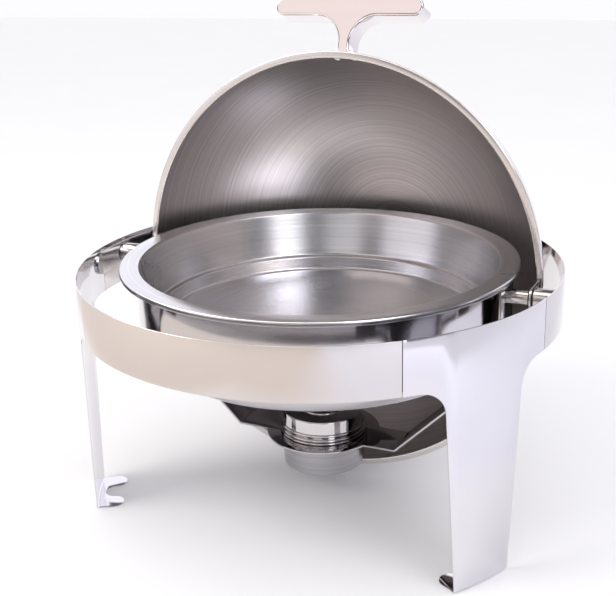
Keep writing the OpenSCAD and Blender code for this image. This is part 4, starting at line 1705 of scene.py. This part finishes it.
    def surroundings(self) -> None:
        """Fill the air with white light, and give polished steel a soft room to mirror."""
        world = bpy.data.worlds.new("pale_studio_air")
        bpy.context.scene.world = world
        world.use_nodes = True
        tree = world.node_tree
        tree.nodes.clear()
        way = add_node(tree, "ShaderNodeTexCoord").outputs["Generated"]
        room = add_node(tree, "ShaderNodeRGB").outputs[0]
        room.default_value = linear(self.air)
        for patch in self.patches:
            bright = tuple(c * patch.strength for c in linear(patch.colour)[:3]) + (1.0,)
            room = add_node(tree, "ShaderNodeMix", {"data_type": "RGBA"}, {
                "Factor": self.patch_mask(tree, way, patch), "A": room,
                "B": bright}).outputs["Result"]
        mirrored = add_node(tree, "ShaderNodeBackground", inputs={"Color": room})
        white = add_node(tree, "ShaderNodeBackground", inputs={
            "Color": linear("#fdfdff"), "Strength": 1.0})
        ray = add_node(tree, "ShaderNodeLightPath")
        air = add_node(tree, "ShaderNodeMixShader", inputs={
            0: ray.outputs["Is Glossy Ray"], 1: white.outputs["Background"],
            2: mirrored.outputs["Background"]})
        add_node(tree, "ShaderNodeOutputWorld", inputs={"Surface": air.outputs["Shader"]})

    def softbox(self, name: str, place: Sequence[float], aim: Sequence[float], wide: float,
                tall: float, watts: float, colour: str) -> None:
        """Hang one soft rectangular light.

        Args:
            name: Name of the light.
            place: Where it hangs, metres.
            aim: The point that it faces, metres.
            wide: Width, metres.
            tall: Height, metres.
            watts: Power.
            colour: sRGB hex colour of the light.
        """
        data = bpy.data.lights.new(name, "AREA")
        data.shape = "RECTANGLE"
        data.size, data.size_y = wide, tall
        data.energy = watts
        data.color = linear(colour)[:3]
        light = bpy.data.objects.new(name, data)
        light.visible_glossy = False
        bpy.context.scene.collection.objects.link(light)
        light.location = place
        light.rotation_euler = (Vector(aim) - Vector(place)).to_track_quat("-Z", "Y").to_euler()

    def lights(self) -> None:
        """Hang the softboxes."""
        self.softbox("key_left", (-1.5, -1.3, 1.7), (0, 0, 0.2), 1.2, 1.2, 20, "#fffaf4")
        self.softbox("fill_right", (1.7, -0.8, 1.2), (0, 0, 0.2), 1.0, 1.4, 10, "#f4f4ff")

    def camera(self) -> None:
        """Stand the camera in front, a little above and to the right."""
        azimuth, elevation, roll = (math.radians(v) for v in
                                    (self.azimuth, self.elevation, self.roll))
        back = Vector((math.sin(azimuth) * math.cos(elevation),
                       -math.cos(azimuth) * math.cos(elevation), math.sin(elevation)))
        level = Vector((math.cos(azimuth), math.sin(azimuth), 0))
        upright = back.cross(level)
        right = level * math.cos(roll) + upright * math.sin(roll)
        up = upright * math.cos(roll) - level * math.sin(roll)
        data = bpy.data.cameras.new("view_camera")
        data.sensor_width = 36.0
        data.lens = self.lens
        data.shift_x, data.shift_y = self.shift_x, self.shift_y
        camera = bpy.data.objects.new("view_camera", data)
        bpy.context.scene.collection.objects.link(camera)
        turn = Matrix((right, up, back)).transposed().to_4x4()
        place = Vector((0, 0, AXLE / 1000)) + back * self.distance
        camera.matrix_world = Matrix.Translation(place) @ turn
        bpy.context.scene.camera = camera

    def build(self) -> None:
        """Build floor, surroundings, lights and camera."""
        self.floor()
        self.surroundings()
        self.lights()
        self.camera()
        bpy.context.scene.view_settings.view_transform = "Standard"


def main() -> None:
    """Build the chafer, its finishes and the studio."""
    logging.basicConfig(level=logging.INFO, format="%(message)s")
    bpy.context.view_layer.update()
    finishes = Finishes()
    for assembly in (Ring(finishes), Pivots(finishes), BurnerBracket(finishes), Pans(finishes),
                     RollTop(finishes), FuelUnit(finishes), Studio()):
        assembly.build()


if __name__ == "__main__":
    main()
